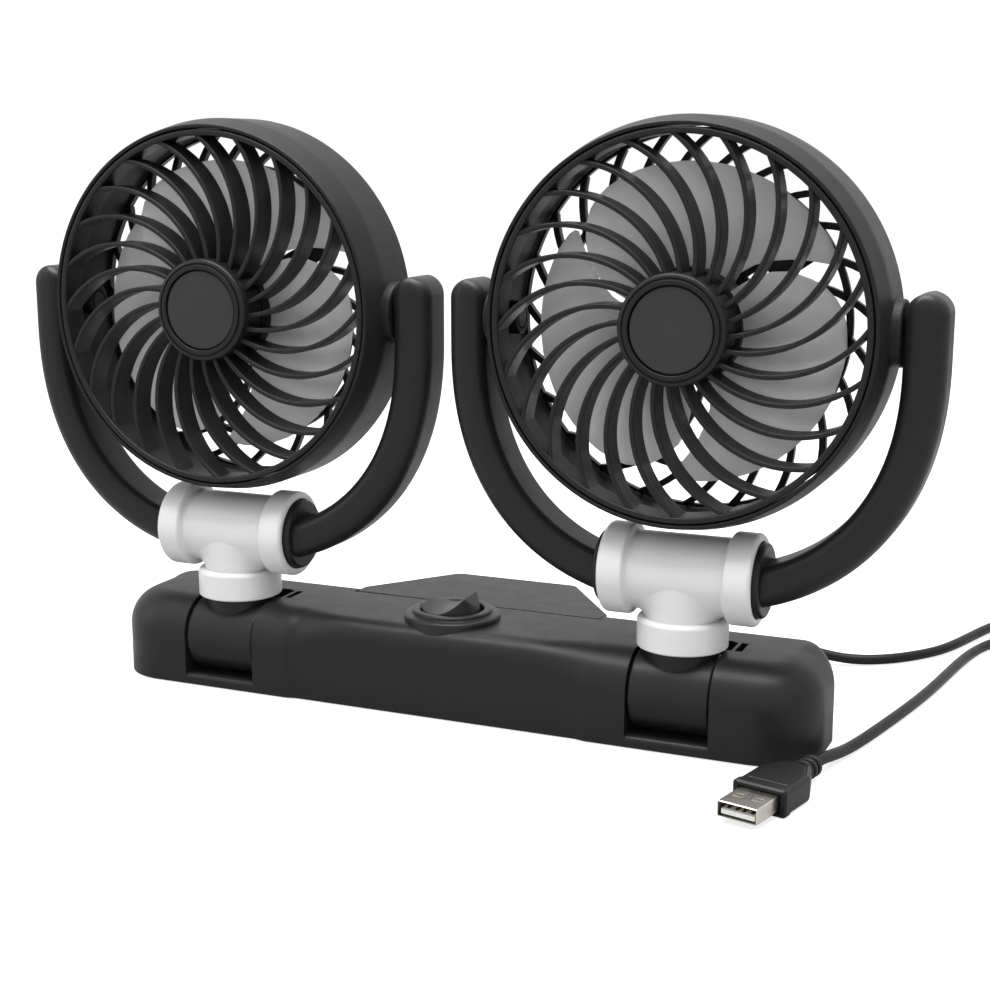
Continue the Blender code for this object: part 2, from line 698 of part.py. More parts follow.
def impeller(name, x):
    front, back, wall = ROTOR_FRONT, -ROTOR_BACK, ROTOR_WALL
    cup = turned([
        (0, front), (ROTOR_R - ROTOR_EDGE, front), (ROTOR_R, front - ROTOR_EDGE), (ROTOR_R, back),
        (ROTOR_R - wall, back), (ROTOR_R - wall, front - wall), (ROTOR_BOSS_R, front - wall),
        (ROTOR_BOSS_R, MOTOR_NOSE + GAP - MOTOR_FRONT), (0, MOTOR_NOSE + GAP - MOTOR_FRONT)], MEDIUM_COUNT)
    made = moved(cup, turn(90, "X"))
    shaft_tip = MOTOR_FRONT + SHAFT_SINK - SHAFT_LENGTH
    made = cut(made, rod(SHAFT_R + GAP, (0, shaft_tip - GAP, 0), (0, MOTOR_FRONT, 0), SMALL_COUNT))
    sweep = math.radians(BLADE_SWEEP_DEG)
    root = ROTOR_R - ROTOR_WALL / 2
    middle = (ROTOR_BACK - ROTOR_FRONT) / 2
    steps = 6
    for number in range(BLADE_COUNT):
        phase = math.radians(BLADE_PHASE_DEG) + number * 2 * math.pi / BLADE_COUNT
        bm = bmesh.new()
        section = [(root - JOIN, 0, 0), (BLADE_TIP_R + OVERRUN, 0, 0),
                   (BLADE_TIP_R + OVERRUN, BLADE_THICK, 0), (root - JOIN, BLADE_THICK, 0)]
        face = bm.faces.new([bm.verts.new(place) for place in section])
        lift = Vector((0, -BLADE_RISE / steps, 0))
        bmesh.ops.spin(bm, geom=[face, *face.edges, *face.verts], axis=(0, 1, 0), cent=(0, 0, 0),
                       dvec=lift, angle=-sweep, steps=steps)
        bmesh.ops.holes_fill(bm, edges=bm.edges)
        bmesh.ops.recalc_face_normals(bm, faces=bm.faces)
        blade = from_bmesh(bm)
        start = Matrix.Rotation(sweep / 2 - phase, 4, "Y")
        moved(blade, shift(0, middle + (BLADE_RISE - BLADE_THICK) / 2, 0) @ start)
        petal = standing([blade_outline(sweep / 2, phase)], -DRUM_FRONT, DRUM_BACK)
        blade = boolean(blade, petal, "INTERSECT")
        made = join(made, blade)
    return node(made, "impeller_" + name, BLADES, (x, 0, HEAD_Z))


def lead_clip(name, x):
    """The clip that holds the motor's lead on the rear grille."""
    back = DRUM_BACK - REAR_PLATE - GAP
    clip = block((CLIP_R - CLIP_LENGTH / 2, back - CLIP_THICK, -CLIP_WIDTH / 2),
                 (CLIP_R + CLIP_LENGTH / 2, back, CLIP_WIDTH / 2))
    clip = bevelled(clip, CLIP_EDGE, 1)
    moved(clip, turn(-CLIP_ANGLE_DEG, "Y"))
    return node(clip, "lead_clip_" + name, PLASTIC, (x, 0, HEAD_Z))


# Yoke


def arc(radius, start, end, steps, z=0.0):
    return [(radius * math.cos(a), z + radius * math.sin(a)) for a in np.linspace(start, end, steps)]


def yoke_arm(name, x, side_name, side):
    """One arm, from its barrel in the tee up to the pivot of the head."""
    middle = YOKE_ARC_Z - ROLL_Z
    half = ARM_WIDTH / 2
    inner = YOKE_R - ARM_WIDTH
    start_x = TEE_HALF
    outer_start = -math.acos(math.sqrt(YOKE_R ** 2 - (middle + half) ** 2) / YOKE_R)
    inner_start = -math.acos(math.sqrt(inner ** 2 - (middle - half) ** 2) / inner)
    top = middle + ARM_RISE
    dome = [(YOKE_R - half + half * math.cos(a), top + half * math.sin(a))
            for a in np.linspace(0, math.pi, 5)]
    outline = [(start_x, -half), *arc(YOKE_R, outer_start, 0, 9, middle), *dome,
               *arc(inner, 0, inner_start, 8, middle)]
    outline = [point for point in outline if point[0] >= start_x]
    outline.append((start_x, half))
    arm = bevelled(standing([outline], -ARM_DEPTH / 2, ARM_DEPTH / 2), ARM_EDGE, 1)
    flange = rod(FLANGE_R, (TEE_HALF - FLANGE_DEPTH, 0, 0), (TEE_HALF + FLANGE_PROUD, 0, 0))
    barrel = rod(BARREL_R, (GAP / 2, 0, 0), (TEE_HALF - FLANGE_DEPTH + JOIN, 0, 0))
    arm = join(arm, flange, barrel)
    arm = cut(arm, rod(TIE_R + GAP, (-OVERRUN, 0, 0), (TIE_LENGTH / 2 + GAP, 0, 0), SMALL_COUNT))
    pivot = HEAD_Z - ROLL_Z
    arm = cut(arm, rod(PIVOT_SCREW_R + SCREW_FIT, (inner - OVERRUN, 0, pivot),
                       (inner + PIVOT_BITE + GAP, 0, pivot), SMALL_COUNT))
    arm = cut(arm, rod(PIVOT_HOLE_R, (inner + PIVOT_BITE, 0, pivot),
                       (YOKE_R + OVERRUN, 0, pivot), SMALL_COUNT))
    if side < 0:
        moved(arm, turn(180, "Z"))
    node(arm, f"yoke_arm_{name}_{side_name}", PLASTIC, (x, 0, ROLL_Z))
    head_x = DRUM_R - DRUM_WALL - PIVOT_BLOCK_DEPTH
    screw = rod(PIVOT_HEAD_R, (side * head_x, 0, 0), (side * (head_x + PIVOT_HEAD), 0, 0), SMALL_COUNT)
    shank = rod(PIVOT_SCREW_R, (side * (head_x + PIVOT_HEAD - JOIN), 0, 0),
                (side * (inner + PIVOT_BITE), 0, 0), SMALL_COUNT)
    node(join(screw, shank), f"pivot_screw_{name}_{side_name}", STEEL, (x, 0, HEAD_Z))


def yoke(name, x):
    for side_name, way in SIDES:
        yoke_arm(name, x, side_name, way * math.copysign(1, x))
    tie = rod(TIE_R, (-TIE_LENGTH / 2, 0, 0), (TIE_LENGTH / 2, 0, 0), SMALL_COUNT)
    node(tie, "yoke_tie_" + name, STEEL, (x, 0, ROLL_Z))


# Tee and knuckle


def tee(name, x):
    half, edge = TEE_HALF, TEE_EDGE
    inside = half - TEE_COLLAR_LENGTH
    right = [(0, half), (TEE_COLLAR_R - edge, half), (TEE_COLLAR_R, half - edge),
             (TEE_COLLAR_R, inside + TEE_STEP / 2), (TEE_R, inside - TEE_STEP / 2)]
    left = [(radius, -place) for radius, place in reversed(right)]
    made = moved(turned(right + left, MEDIUM_COUNT), turn(90, "Y"))
    foot = STEM_FOOT_Z - ROLL_Z
    top = foot + STEM_COLLAR_HEIGHT
    stem = turned([(0, 0), (STEM_R, 0), (STEM_R, top), (STEM_COLLAR_R - edge, top),
                   (STEM_COLLAR_R, top - edge), (STEM_COLLAR_R, foot), (0, foot)], MEDIUM_COUNT)
    made = join(made, stem)
    bore = BARREL_R + GAP
    end = half + OVERRUN
    made = cut(made, rod(bore, (-end, 0, 0), (end, 0, 0)))
    for side in (-1, 1):
        made = cut(made, rod(FLANGE_R + GAP, (side * (half - FLANGE_DEPTH - GAP), 0, 0),
                             (side * end, 0, 0)))
    made = cut(made, rod(POST_R + GAP, (0, 0, foot - OVERRUN), (0, 0, -bore - STEM_FLOOR)))
    made = cut(made, rod(SWIVEL_SCREW_R + SCREW_FIT, (0, 0, -bore - STEM_FLOOR - OVERRUN), (0, 0, 0),
                         SMALL_COUNT))
    return node(made, "tee_" + name, PALE, (x, 0, ROLL_Z))


def knuckle(name, x):
    half = SLOT_WIDTH / 2 - RUN_GAP
    barrel = bevelled(rod(KNUCKLE_R, (-half, 0, 0), (half, 0, 0)), SCREW_FIT, 1)
    neck_top = STEM_FOOT_Z - GAP - FOLD_Z
    post_top = ROLL_Z - BARREL_R - GAP - STEM_FLOOR - GAP - FOLD_Z
    neck = rod(KNUCKLE_NECK_R, (0, -FOLD_Y, 0), (0, -FOLD_Y, neck_top))
    post = rod(POST_R, (0, -FOLD_Y, neck_top - JOIN), (0, -FOLD_Y, post_top))
    made = join(barrel, neck, post)
    pocket = post_top - SWIVEL_SEAT
    made = cut(made, rod(SWIVEL_POCKET_R, (0, -FOLD_Y, -KNUCKLE_R - OVERRUN), (0, -FOLD_Y, pocket),
                         SMALL_COUNT))
    made = cut(made, rod(SWIVEL_SCREW_R + SCREW_FIT, (0, -FOLD_Y, pocket - OVERRUN),
                         (0, -FOLD_Y, post_top + OVERRUN), SMALL_COUNT))
    made = cut(made, rod(PIN_R + GAP, (-half - OVERRUN, 0, 0), (half + OVERRUN, 0, 0), SMALL_COUNT))
    node(made, "knuckle_" + name, PLASTIC, (x, FOLD_Y, FOLD_Z))
    head_top = pocket - GAP
    screw = rod(SWIVEL_HEAD_R, (0, 0, head_top - SWIVEL_HEAD), (0, 0, head_top), SMALL_COUNT)
    tip = ROLL_Z - BARREL_R - GAP - GAP - FOLD_Z
    screw = join(screw, rod(SWIVEL_SCREW_R, (0, 0, head_top - JOIN), (0, 0, tip), SMALL_COUNT))
    moved(screw, shift(0, 0, FOLD_Z - ROLL_Z))
    node(screw, "swivel_screw_" + name, STEEL, (x, 0, ROLL_Z))
    reach = SLOT_WIDTH / 2 + CHEEK + OVERRUN
    pin = rod(PIN_R, (-reach, 0, 0), (reach, 0, 0), SMALL_COUNT)
    node(pin, "hinge_pin_" + name, STEEL, (x, FOLD_Y, FOLD_Z))


# Base


def base_solid(inset, bottom, steps=4):
    """The long housing, or its hollow when inset by the wall."""
    half, front, back, top = BASE_HALF - inset, BASE_FRONT - inset, BASE_BACK - inset, BASE_TOP - inset
    waist, slope = BASE_WAIST_HALF, BASE_WAIST_SLOPE
    plan = rounded([
        (-half, -front, BASE_FRONT_CORNER - inset), (-waist - slope, -front, 0),
        (-waist, BASE_WAIST - front, 0), (waist, BASE_WAIST - front, 0), (waist + slope, -front, 0),
        (half, -front, BASE_FRONT_CORNER - inset), (half, back, BASE_BACK_CORNER - inset),
        (-half, back, BASE_BACK_CORNER - inset)], steps)
    made = moved(outline_solid([plan], top - bottom), shift(0, 0, bottom))
    reach = half + OVERRUN
    for radius, corner, inward in (
            (BASE_FRONT_ROUND - inset, (-front, top), (1, -1)),
            (BASE_BACK_ROUND - inset, (back, top), (-1, -1))):
        made = cut(made, along_x(edge_tool(radius, corner, inward, steps), -reach, reach))
    for side in (-1, 1):
        tool = edge_tool(BASE_END_ROUND - inset, (side * half, top), (-side, -1), steps)
        made = cut(made, standing([tool], -front - OVERRUN, back + OVERRUN))
    return made


def cover_half(y, margin=0.0):
    """Half the width of the rear cover at a depth, less a margin inside its slanted side."""
    slope = (COVER_HALF_FRONT - COVER_HALF_BACK) / (COVER_BACK - BASE_BACK)
    side = COVER_HALF_FRONT - max(y - BASE_BACK, -margin) * slope
    return side - margin * math.hypot(1, slope)


def switch_seat():
    """The flat that carries the switch out over the rounded front edge."""
    outline = rounded([(-SEAT_HALF_BACK, 0, 0), (-SEAT_HALF_FRONT, -SEAT_FRONT, SEAT_HALF_FRONT),
                       (SEAT_HALF_FRONT, -SEAT_FRONT, SEAT_HALF_FRONT), (SEAT_HALF_BACK, 0, 0)], 4)
    made = outline_solid([outline], SEAT_HEIGHT)
    return bevelled(moved(made, shift(0, 0, BASE_TOP - SEAT_HEIGHT - GAP / 2)), SEAT_EDGE, 2)


def housing():
    made = join(base_solid(0.0, SKIRT_Z), switch_seat())
    made = cut(made, base_solid(BASE_WALL, SKIRT_Z - OVERRUN, 2))
    for name, x in HEADS:
        for side in (-1, 1):
            face = x + side * SLOT_WIDTH / 2
            plate = block((min(face, face + side * CHEEK), -BASE_FRONT, PLATE_TOP + GAP),
                          (max(face, face + side * CHEEK), BASE_BACK, BASE_TOP))
            plate = boolean(plate, base_solid(BASE_WALL / 2, SKIRT_Z - OVERRUN), "INTERSECT")
            made = join(made, plate)
    screw_x = (-SCREW_X, SCREW_X)
    for x in screw_x:
        made = join(made, rod(BOSS_R, (x, SCREW_Y, PLATE_TOP + GAP),
                              (x, SCREW_Y, BASE_TOP - BASE_WALL / 2), SMALL_COUNT))
    for name, x in HEADS:
        made = cut(made, block((x - SLOT_WIDTH / 2, -BASE_FRONT - OVERRUN, SLOT_LIP_Z),
                               (x + SLOT_WIDTH / 2, SLOT_BACK, BASE_TOP + OVERRUN)))
        reach = SLOT_WIDTH / 2 + CHEEK + OVERRUN + OVERRUN
        made = cut(made, rod(PIN_R + GAP, (x - reach, FOLD_Y, FOLD_Z), (x + reach, FOLD_Y, FOLD_Z),
                             SMALL_COUNT))
        for left, width in ((-OVERRUN, OVERRUN + NOTCH_WIDTH),
                            (VENT_OFFSET - VENT_WIDTH / 2, VENT_WIDTH)):
            start = x + SLOT_WIDTH / 2 + left
            low = (start, VENT_Y - VENT_LENGTH / 2, BASE_TOP - BASE_WALL - OVERRUN)
            high = (start + width, VENT_Y + VENT_LENGTH / 2, BASE_TOP + OVERRUN)
            made = cut(made, block(low, high))
    for x in screw_x:
        made = cut(made, rod(SCREW_R + SCREW_FIT, (x, SCREW_Y, 0), (x, SCREW_Y, SCREW_TOP + GAP),
                             SMALL_COUNT))
    made = cut(made, rod(BEZEL_SLEEVE_R + GAP, (0, BEZEL_Y, BASE_TOP - BEZEL_SLEEVE - OVERRUN),
                         (0, BEZEL_Y, BASE_TOP + OVERRUN)))
    made = cut(made, block((-COVER_HALF_FRONT - GAP, COVER_FRONT - GAP, -OVERRUN),
                           (COVER_HALF_FRONT + GAP, BASE_BACK + OVERRUN, BASE_TOP + OVERRUN)))
    made = cut(made, rod(GLAND_R + GAP, (CORD_X, BASE_BACK - BASE_WALL - OVERRUN, CORD_Z),
                         (CORD_X, BASE_BACK + OVERRUN, CORD_Z), SMALL_COUNT))
    return node(made, "base_housing", PLASTIC)


def rear_cover():
    def outline(margin, front):
        back = COVER_BACK - margin
        corner = COVER_CORNER - margin
        return rounded([
            (-cover_half(COVER_FRONT, margin), front, 0), (cover_half(COVER_FRONT, margin), front, 0),
            (cover_half(BASE_BACK - margin, margin), BASE_BACK - margin, 0),
            (cover_half(back, margin), back, corner), (-cover_half(back, margin), back, corner),
            (-cover_half(BASE_BACK - margin, margin), BASE_BACK - margin, 0)], 3)
    made = moved(outline_solid([outline(0.0, COVER_FRONT)], BASE_TOP - SKIRT_Z), shift(0, 0, SKIRT_Z))
    floor = SKIRT_Z - OVERRUN
    hollow = outline_solid([outline(BASE_WALL, COVER_FRONT - OVERRUN)], BASE_TOP - BASE_WALL - floor)
    made = cut(made, moved(hollow, shift(0, 0, floor)))
    for side in (-1, 1):
        x = side * SCREW_BACK_X
        made = join(made, rod(BOSS_R, (x, SCREW_BACK_Y, PLATE_TOP + GAP),
                              (x, SCREW_BACK_Y, BASE_TOP - BASE_WALL / 2), SMALL_COUNT))
        made = cut(made, rod(SCREW_R + SCREW_FIT, (x, SCREW_BACK_Y, 0),
                             (x, SCREW_BACK_Y, SCREW_TOP + GAP), SMALL_COUNT))
    return node(made, "rear_cover", PLASTIC)


def bottom_plate():
    margin = BASE_WALL + GAP
    half, front, back = BASE_HALF - margin, BASE_FRONT - BASE_WAIST - margin, BASE_BACK - margin
    deep = COVER_BACK - margin
    plan = rounded([
        (-half, -front, BASE_FRONT_CORNER - margin), (half, -front, BASE_FRONT_CORNER - margin),
        (half, back, BASE_BACK_CORNER - margin), (cover_half(back, margin), back, 0),
        (cover_half(deep, margin), deep, COVER_CORNER - margin),
        (-cover_half(deep, margin), deep, COVER_CORNER - margin),
        (-cover_half(back, margin), back, 0), (-half, back, BASE_BACK_CORNER - margin)], 2)
    made = moved(outline_solid([plan], PLATE_THICK), shift(0, 0, PLATE_Z))
    for name, x in HEADS:
        reach = SLOT_WIDTH / 2 + RUN_GAP
        slot_back = FOLD_Y + KNUCKLE_R + RUN_GAP
        made = cut(made, block((x - reach, -BASE_FRONT, 0), (x + reach, slot_back, BASE_TOP)))
    for side in (-1, 1):
        edges = sorted((side * (cover_half(COVER_FRONT, BASE_WALL) - GAP), side * (COVER_HALF_FRONT + GAP)))
        made = cut(made, block((edges[0], COVER_FRONT - GAP, 0), (edges[1], BASE_BACK, BASE_TOP)))
        post = rod(BOARD_POST_R, (side * BOARD_POST_X, BOARD_Y, PLATE_TOP - JOIN),
                   (side * BOARD_POST_X, BOARD_Y, BOARD_Z - GAP), SMALL_COUNT)
        made = join(made, post)
    for x, y in SCREW_PLACES:
        made = cut(made, rod(SCREW_R + SCREW_FIT, (x, y, 0), (x, y, BASE_TOP), SMALL_COUNT))
        made = cut(made, rod(SCREW_HEAD_R + GAP, (x, y, 0), (x, y, PLATE_Z + SCREW_HEAD + GAP), SMALL_COUNT))
    node(made, "bottom_plate", PLASTIC)
    edge = BASE_HALF - PAD_MARGIN
    front, back = PAD_MARGIN - BASE_FRONT, COVER_FRONT - OVERRUN
    wide, corner = BASE_FRONT_CORNER - PAD_MARGIN, BASE_BACK_CORNER - PAD_MARGIN
    pad = rounded([(-edge, front, wide), (edge, front, wide), (edge, back, corner),
                   (-edge, back, corner)], 3)
    node(outline_solid([pad], PAD_THICK), "adhesive_pad", FOAM)
    for number, (x, y) in enumerate(SCREW_PLACES):
        head = rod(SCREW_HEAD_R, (x, y, PLATE_Z), (x, y, PLATE_Z + SCREW_HEAD), SMALL_COUNT)
        shank = rod(SCREW_R, (x, y, PLATE_Z + SCREW_HEAD - JOIN), (x, y, SCREW_TOP), SMALL_COUNT)
        node(join(head, shank), f"base_screw_{number + 1}", STEEL)


def board():
    made = block((-BOARD_LENGTH / 2, BOARD_Y - BOARD_WIDTH / 2, BOARD_Z),
                 (BOARD_LENGTH / 2, BOARD_Y + BOARD_WIDTH / 2, BOARD_Z + BOARD_THICK))
    return node(made, "circuit_board", BOARD)


def switch():
    seat = BASE_TOP + GAP
    step = seat + BEZEL_THICK
    top = step + BEZEL_RISE
    edge = BEZEL_EDGE
    inner = BEZEL_SLEEVE_R - BEZEL_WALL
    bottom = BASE_TOP - BEZEL_SLEEVE
    ring = turned([
        (inner, top), (BEZEL_STEP_R - edge, top), (BEZEL_STEP_R, top - edge), (BEZEL_STEP_R, step),
        (BEZEL_R - edge, step), (BEZEL_R, step - edge), (BEZEL_R, seat), (BEZEL_SLEEVE_R, seat),
        (BEZEL_SLEEVE_R, bottom), (inner, bottom)], MEDIUM_COUNT, ring=True)
    pivot = step - ROCKER_PIVOT_DROP
    ring = cut(moved(ring, shift(0, BEZEL_Y, 0)),
               rod(ROCKER_PIVOT_R + SCREW_FIT, (0, BEZEL_Y - BEZEL_SLEEVE_R - OVERRUN, pivot),
                   (0, BEZEL_Y + BEZEL_SLEEVE_R + OVERRUN, pivot), SMALL_COUNT))
    node(ring, "switch_bezel", PLASTIC)
    body = rod(inner - GAP, (0, BEZEL_Y, bottom), (0, BEZEL_Y, bottom + BODY_HEIGHT - GAP))
    node(body, "switch_body", PLASTIC)
    half, width = ROCKER_HALF, ROCKER_WIDTH / 2
    low = -(pivot - bottom - BODY_HEIGHT) / 2
    crest = half * ROCKER_CREST_SHARE
    side = [(-half, 0), (-half / 2, low), (half / 2, low), (half, 0), (half, ROCKER_RISE),
            (crest, ROCKER_RISE), (0, ROCKER_RISE * ROCKER_DIP_SHARE), (-crest, ROCKER_RISE),
            (-half, ROCKER_RISE)]
    rocker = standing([side], -width, width)
    rocker = join(rocker, rod(ROCKER_PIVOT_R, (0, -inner - GAP, 0), (0, inner + GAP, 0), SMALL_COUNT))
    moved(rocker, turn(-ROCKER_REST_DEG, "Y"))
    node(rocker, "rocker", PLASTIC, (0, BEZEL_Y, pivot))


# Cord


def gland():
    """The bush that the cord leaves the housing through."""
    inside = BASE_BACK - BASE_WALL - GLAND_INSIDE
    face = BASE_BACK + GAP
    lip = face + GLAND_FLANGE
    bore = CORD_R + GAP
    tip = lip + GLAND_TAIL
    made = turned([
        (bore, tip), (GLAND_TIP_R, tip), (GLAND_R, lip), (GLAND_FLANGE_R, lip), (GLAND_FLANGE_R, face),
        (GLAND_R, face), (GLAND_R, inside), (bore, inside)], SMALL_COUNT, ring=True)
    moved(made, shift(CORD_X, 0, CORD_Z) @ turn(-90, "X"))
    return node(made, "cable_gland", PVC)


def smooth(route):
    """Even points along the smooth curve of least bending through a route's own points."""
    places = np.array(route) * MM
    run = np.concatenate([[0.0], np.cumsum(np.linalg.norm(np.diff(places, axis=0), axis=1))])
    width = np.diff(run)[:, None]
    slope = np.diff(places, axis=0) / width
    last = len(places) - 1
    matrix = np.eye(last + 1)
    for i in range(1, last):
        matrix[i, i - 1:i + 2] = width[i - 1, 0], 2 * (width[i - 1, 0] + width[i, 0]), width[i, 0]
    change = np.zeros_like(places)
    change[1:last] = 6 * np.diff(slope, axis=0)
    bend = np.linalg.solve(matrix, change)
    at = np.linspace(0, run[-1], 40 * last)
    i = np.clip(np.searchsorted(run, at) - 1, 0, last - 1)
    on = (at - run[i])[:, None]
    start = slope[i] - width[i] * (2 * bend[i] + bend[i + 1]) / 6
    twist = (bend[i + 1] - bend[i]) / (6 * width[i])
    fine = places[i] + on * start + on ** 2 * bend[i] / 2 + on ** 3 * twist
    way = np.concatenate([[0.0], np.cumsum(np.linalg.norm(np.diff(fine, axis=0), axis=1))])
    even = np.linspace(0, way[-1], round(way[-1] / CORD_STEP) + 1)
    return np.column_stack([np.interp(even, way, fine[:, axis]) for axis in range(3)])


def coil_points(count):
    """The wound turns, in and out again in two layers, with so many points a turn."""
    turns = np.linspace(0, COIL_TURNS, round(COIL_TURNS * count) + 1)
    out = np.maximum(SPIRAL_TURNS - turns, 0) + np.maximum(turns - SPIRAL_TURNS - CLIMB_TURNS, 0)
    radius = COIL_INNER_R + COIL_PITCH * out
    climb = np.clip((turns - SPIRAL_TURNS) / CLIMB_TURNS, 0, 1)
    angle = math.pi - 2 * math.pi * turns
    return np.column_stack([COIL_X + radius * np.cos(angle), COIL_Y + radius * np.sin(angle),
                            COIL_Z + COIL_LAYER * climb])


def tube(points, name, sides):
    """A length of cord with closed ends."""
    curve = bpy.data.curves.new(name, "CURVE")
    curve.dimensions = "3D"
    curve.bevel_depth = CORD_R
    curve.bevel_resolution = sides
    curve.use_fill_caps = True
    spline = curve.splines.new("POLY")
    spline.points.add(len(points) - 1)
    for place, point in zip(spline.points, points):
        place.co = (*point, 1.0)
    curve.materials.append(PVC)
    obj = bpy.data.objects.new(name, curve)
    CAR_FAN.objects.link(obj)
    return float(np.linalg.norm(np.diff(points, axis=0), axis=1).sum())


def cord():
    """The lead, the coil and the tail, and the strap that holds the coil."""
    turns = coil_points(COIL_POINTS)
    straight = 2 * CORD_R
    first = turns[0] - (0, straight, 0)
    last = turns[-1] + (straight, 0, 0)
    length = tube(smooth(LEAD_ROUTE), "cord_lead", 2)
    length += tube(np.vstack([first, turns, last]), "cord_coil", 1)
    length += tube(smooth(TAIL_ROUTE), "cord_tail", 2)
    fine = coil_points(4 * COIL_POINTS)
    apart = np.linalg.norm(fine[:, None] - fine[None], axis=2)
    number = np.arange(len(fine))
    near = np.abs(number[:, None] - number[None]) < 2 * COIL_POINTS
    apart[near] = COIL_R
    print(f"cord {length / MM:.0f} mm, least gap in the coil {(apart.min() - 2 * CORD_R) / MM:.2f} mm")
    low = math.sqrt((COIL_INNER_R - CORD_R) ** 2 - (TIE_WIDTH / 2) ** 2) - GAP
    high = COIL_R + CORD_R + GAP
    bottom, top = COIL_Z - CORD_R - GAP, COIL_Z + COIL_LAYER + CORD_R + GAP
    frames = []
    for out in (TIE_THICK, 0):
        corner = TIE_CORNER + out
        frames.append(rounded([(low - out, bottom - out, corner), (high + out, bottom - out, corner),
                               (high + out, top + out, corner), (low - out, top + out, corner)], 2))
    strap = standing(frames, -TIE_WIDTH / 2, TIE_WIDTH / 2)
    moved(strap, shift(COIL_X, COIL_Y, 0) @ turn(TIE_ANGLE_DEG, "Z"))
    return node(strap, "cord_tie", PVC)


def plug():
    """The moulded body with its ribbed relief, the metal shell and the contact tongue."""
    place = shift(PLUG_X, PLUG_Y, PLUG_Z) @ turn(PLUG_TURN_DEG, "Z")
    back, front = RELIEF_LENGTH, RELIEF_LENGTH + PLUG_LENGTH
    half, tail = PLUG_WIDTH / 2, PLUG_TAIL_WIDTH / 2
    plan = [(back, -tail), (back + PLUG_TAPER, -half), (front, -half), (front, half),
            (back + PLUG_TAPER, half), (back, tail)]
    made = moved(outline_solid([plan], PLUG_THICK), shift(0, 0, -PLUG_THICK / 2))
    made = bevelled(made, PLUG_EDGE, 2, 20)
    pitch = RELIEF_LENGTH / RELIEF_RIB_COUNT
    ribs = [(0, back + JOIN), (RELIEF_NECK_R, back + JOIN)]
    for number in reversed(range(RELIEF_RIB_COUNT)):
        low = number * pitch
        high = low + pitch * RELIEF_RIB_SHARE
        ribs += [(RELIEF_NECK_R, high), (RELIEF_R, high), (RELIEF_R, low)]
        if number:
            ribs.append((RELIEF_NECK_R, low))
    relief = moved(turned([*ribs, (0, 0)], SMALL_COUNT), turn(90, "Y"))
    made = join(made, relief)
    room = (SHELL_WIDTH / 2 + GAP, SHELL_THICK / 2 + GAP)
    deep = front - SHELL_SUNK
    made = cut(made, block((deep, -room[0], -room[1]), (front + OVERRUN, *room)))
    node(moved(made, place), "plug_body", PVC)
    mouth = front + SHELL_OUT
    wide, thick, wall = SHELL_WIDTH / 2, SHELL_THICK / 2, SHELL_WALL
    shell = block((deep + GAP, -wide, -thick), (mouth, wide, thick))
    shell = cut(shell, block((deep + GAP + wall, wall - wide, wall - thick),
                             (mouth + OVERRUN, wide - wall, thick - wall)))
    for side in (-1, 1):
        middle = Vector((front + LATCH_X, side * LATCH_Y, thick))
        reach = Vector((LATCH_SIZE / 2, LATCH_SIZE / 2, wall + GAP))
        shell = cut(shell, block(middle - reach, middle + reach))
    node(moved(shell, place), "plug_shell", STEEL)
    tongue = block((deep + GAP + wall + GAP, -TONGUE_WIDTH / 2, wall + GAP - thick),
                   (mouth - TONGUE_SET_BACK, TONGUE_WIDTH / 2, wall + GAP - thick + TONGUE_THICK))
    node(moved(tongue, place), "plug_tongue", PVC)


HEAD_PIECES = (shroud, rear_grille, front_grille, motor, impeller, lead_clip, yoke, tee, knuckle)
for head_name, head_x in HEADS:
    for build in HEAD_PIECES:
        build(head_name, head_x)
housing()
rear_cover()
bottom_plate()
board()
switch()
gland()
cord()
plug()
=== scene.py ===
"""A dual head car fan: two caged heads on yokes over a long base, with its cord and plug.

Outlines and grids are in millimetres, which MM takes to Blender's metres. +X runs from the left
head to the right one, the heads face -Y, and +Z points up from the underside of the pad.
"""
import math

import bmesh
import bpy
import numpy as np
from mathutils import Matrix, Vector


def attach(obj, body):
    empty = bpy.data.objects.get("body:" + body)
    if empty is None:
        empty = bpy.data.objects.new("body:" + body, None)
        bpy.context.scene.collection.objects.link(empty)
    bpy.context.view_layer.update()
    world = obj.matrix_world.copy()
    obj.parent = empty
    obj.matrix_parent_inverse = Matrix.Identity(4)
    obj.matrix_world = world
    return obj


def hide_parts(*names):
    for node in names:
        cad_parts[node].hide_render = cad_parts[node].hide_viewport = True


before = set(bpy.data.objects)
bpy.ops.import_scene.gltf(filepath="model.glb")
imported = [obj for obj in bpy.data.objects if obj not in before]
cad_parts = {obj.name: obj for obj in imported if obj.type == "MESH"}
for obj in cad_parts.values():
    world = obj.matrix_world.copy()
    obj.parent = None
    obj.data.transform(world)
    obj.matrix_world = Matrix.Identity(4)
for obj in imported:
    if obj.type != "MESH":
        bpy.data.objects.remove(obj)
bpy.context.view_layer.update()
MM = 0.001

# Camera: a long lens level with the upper half of the heads, to the right of the whole fan, that
# looks a little down and to the left. Its place is in metres and its angles are in radians.

CAMERA_AT, CAMERA_DIP, CAMERA_TURN = (0.2160, -0.4637, 0.1748), 0.2034, 0.4074
LENS, SENSOR = 60.45, 36.0
camera = bpy.data.objects.new("camera", bpy.data.cameras.new("camera"))
camera.location = CAMERA_AT
camera.rotation_euler = (math.pi / 2 - CAMERA_DIP, 0, CAMERA_TURN)
camera.data.lens = LENS
camera.data.sensor_width = SENSOR
bpy.context.scene.collection.objects.link(camera)
bpy.context.scene.camera = camera
bpy.context.scene.view_settings.view_transform = "Standard"

# Cord: round black PVC lead, 3.5 mm across. It leaves the base behind the right wing, is wound
# into a neat coil there, runs out past the right end of the base and comes back to the plug.

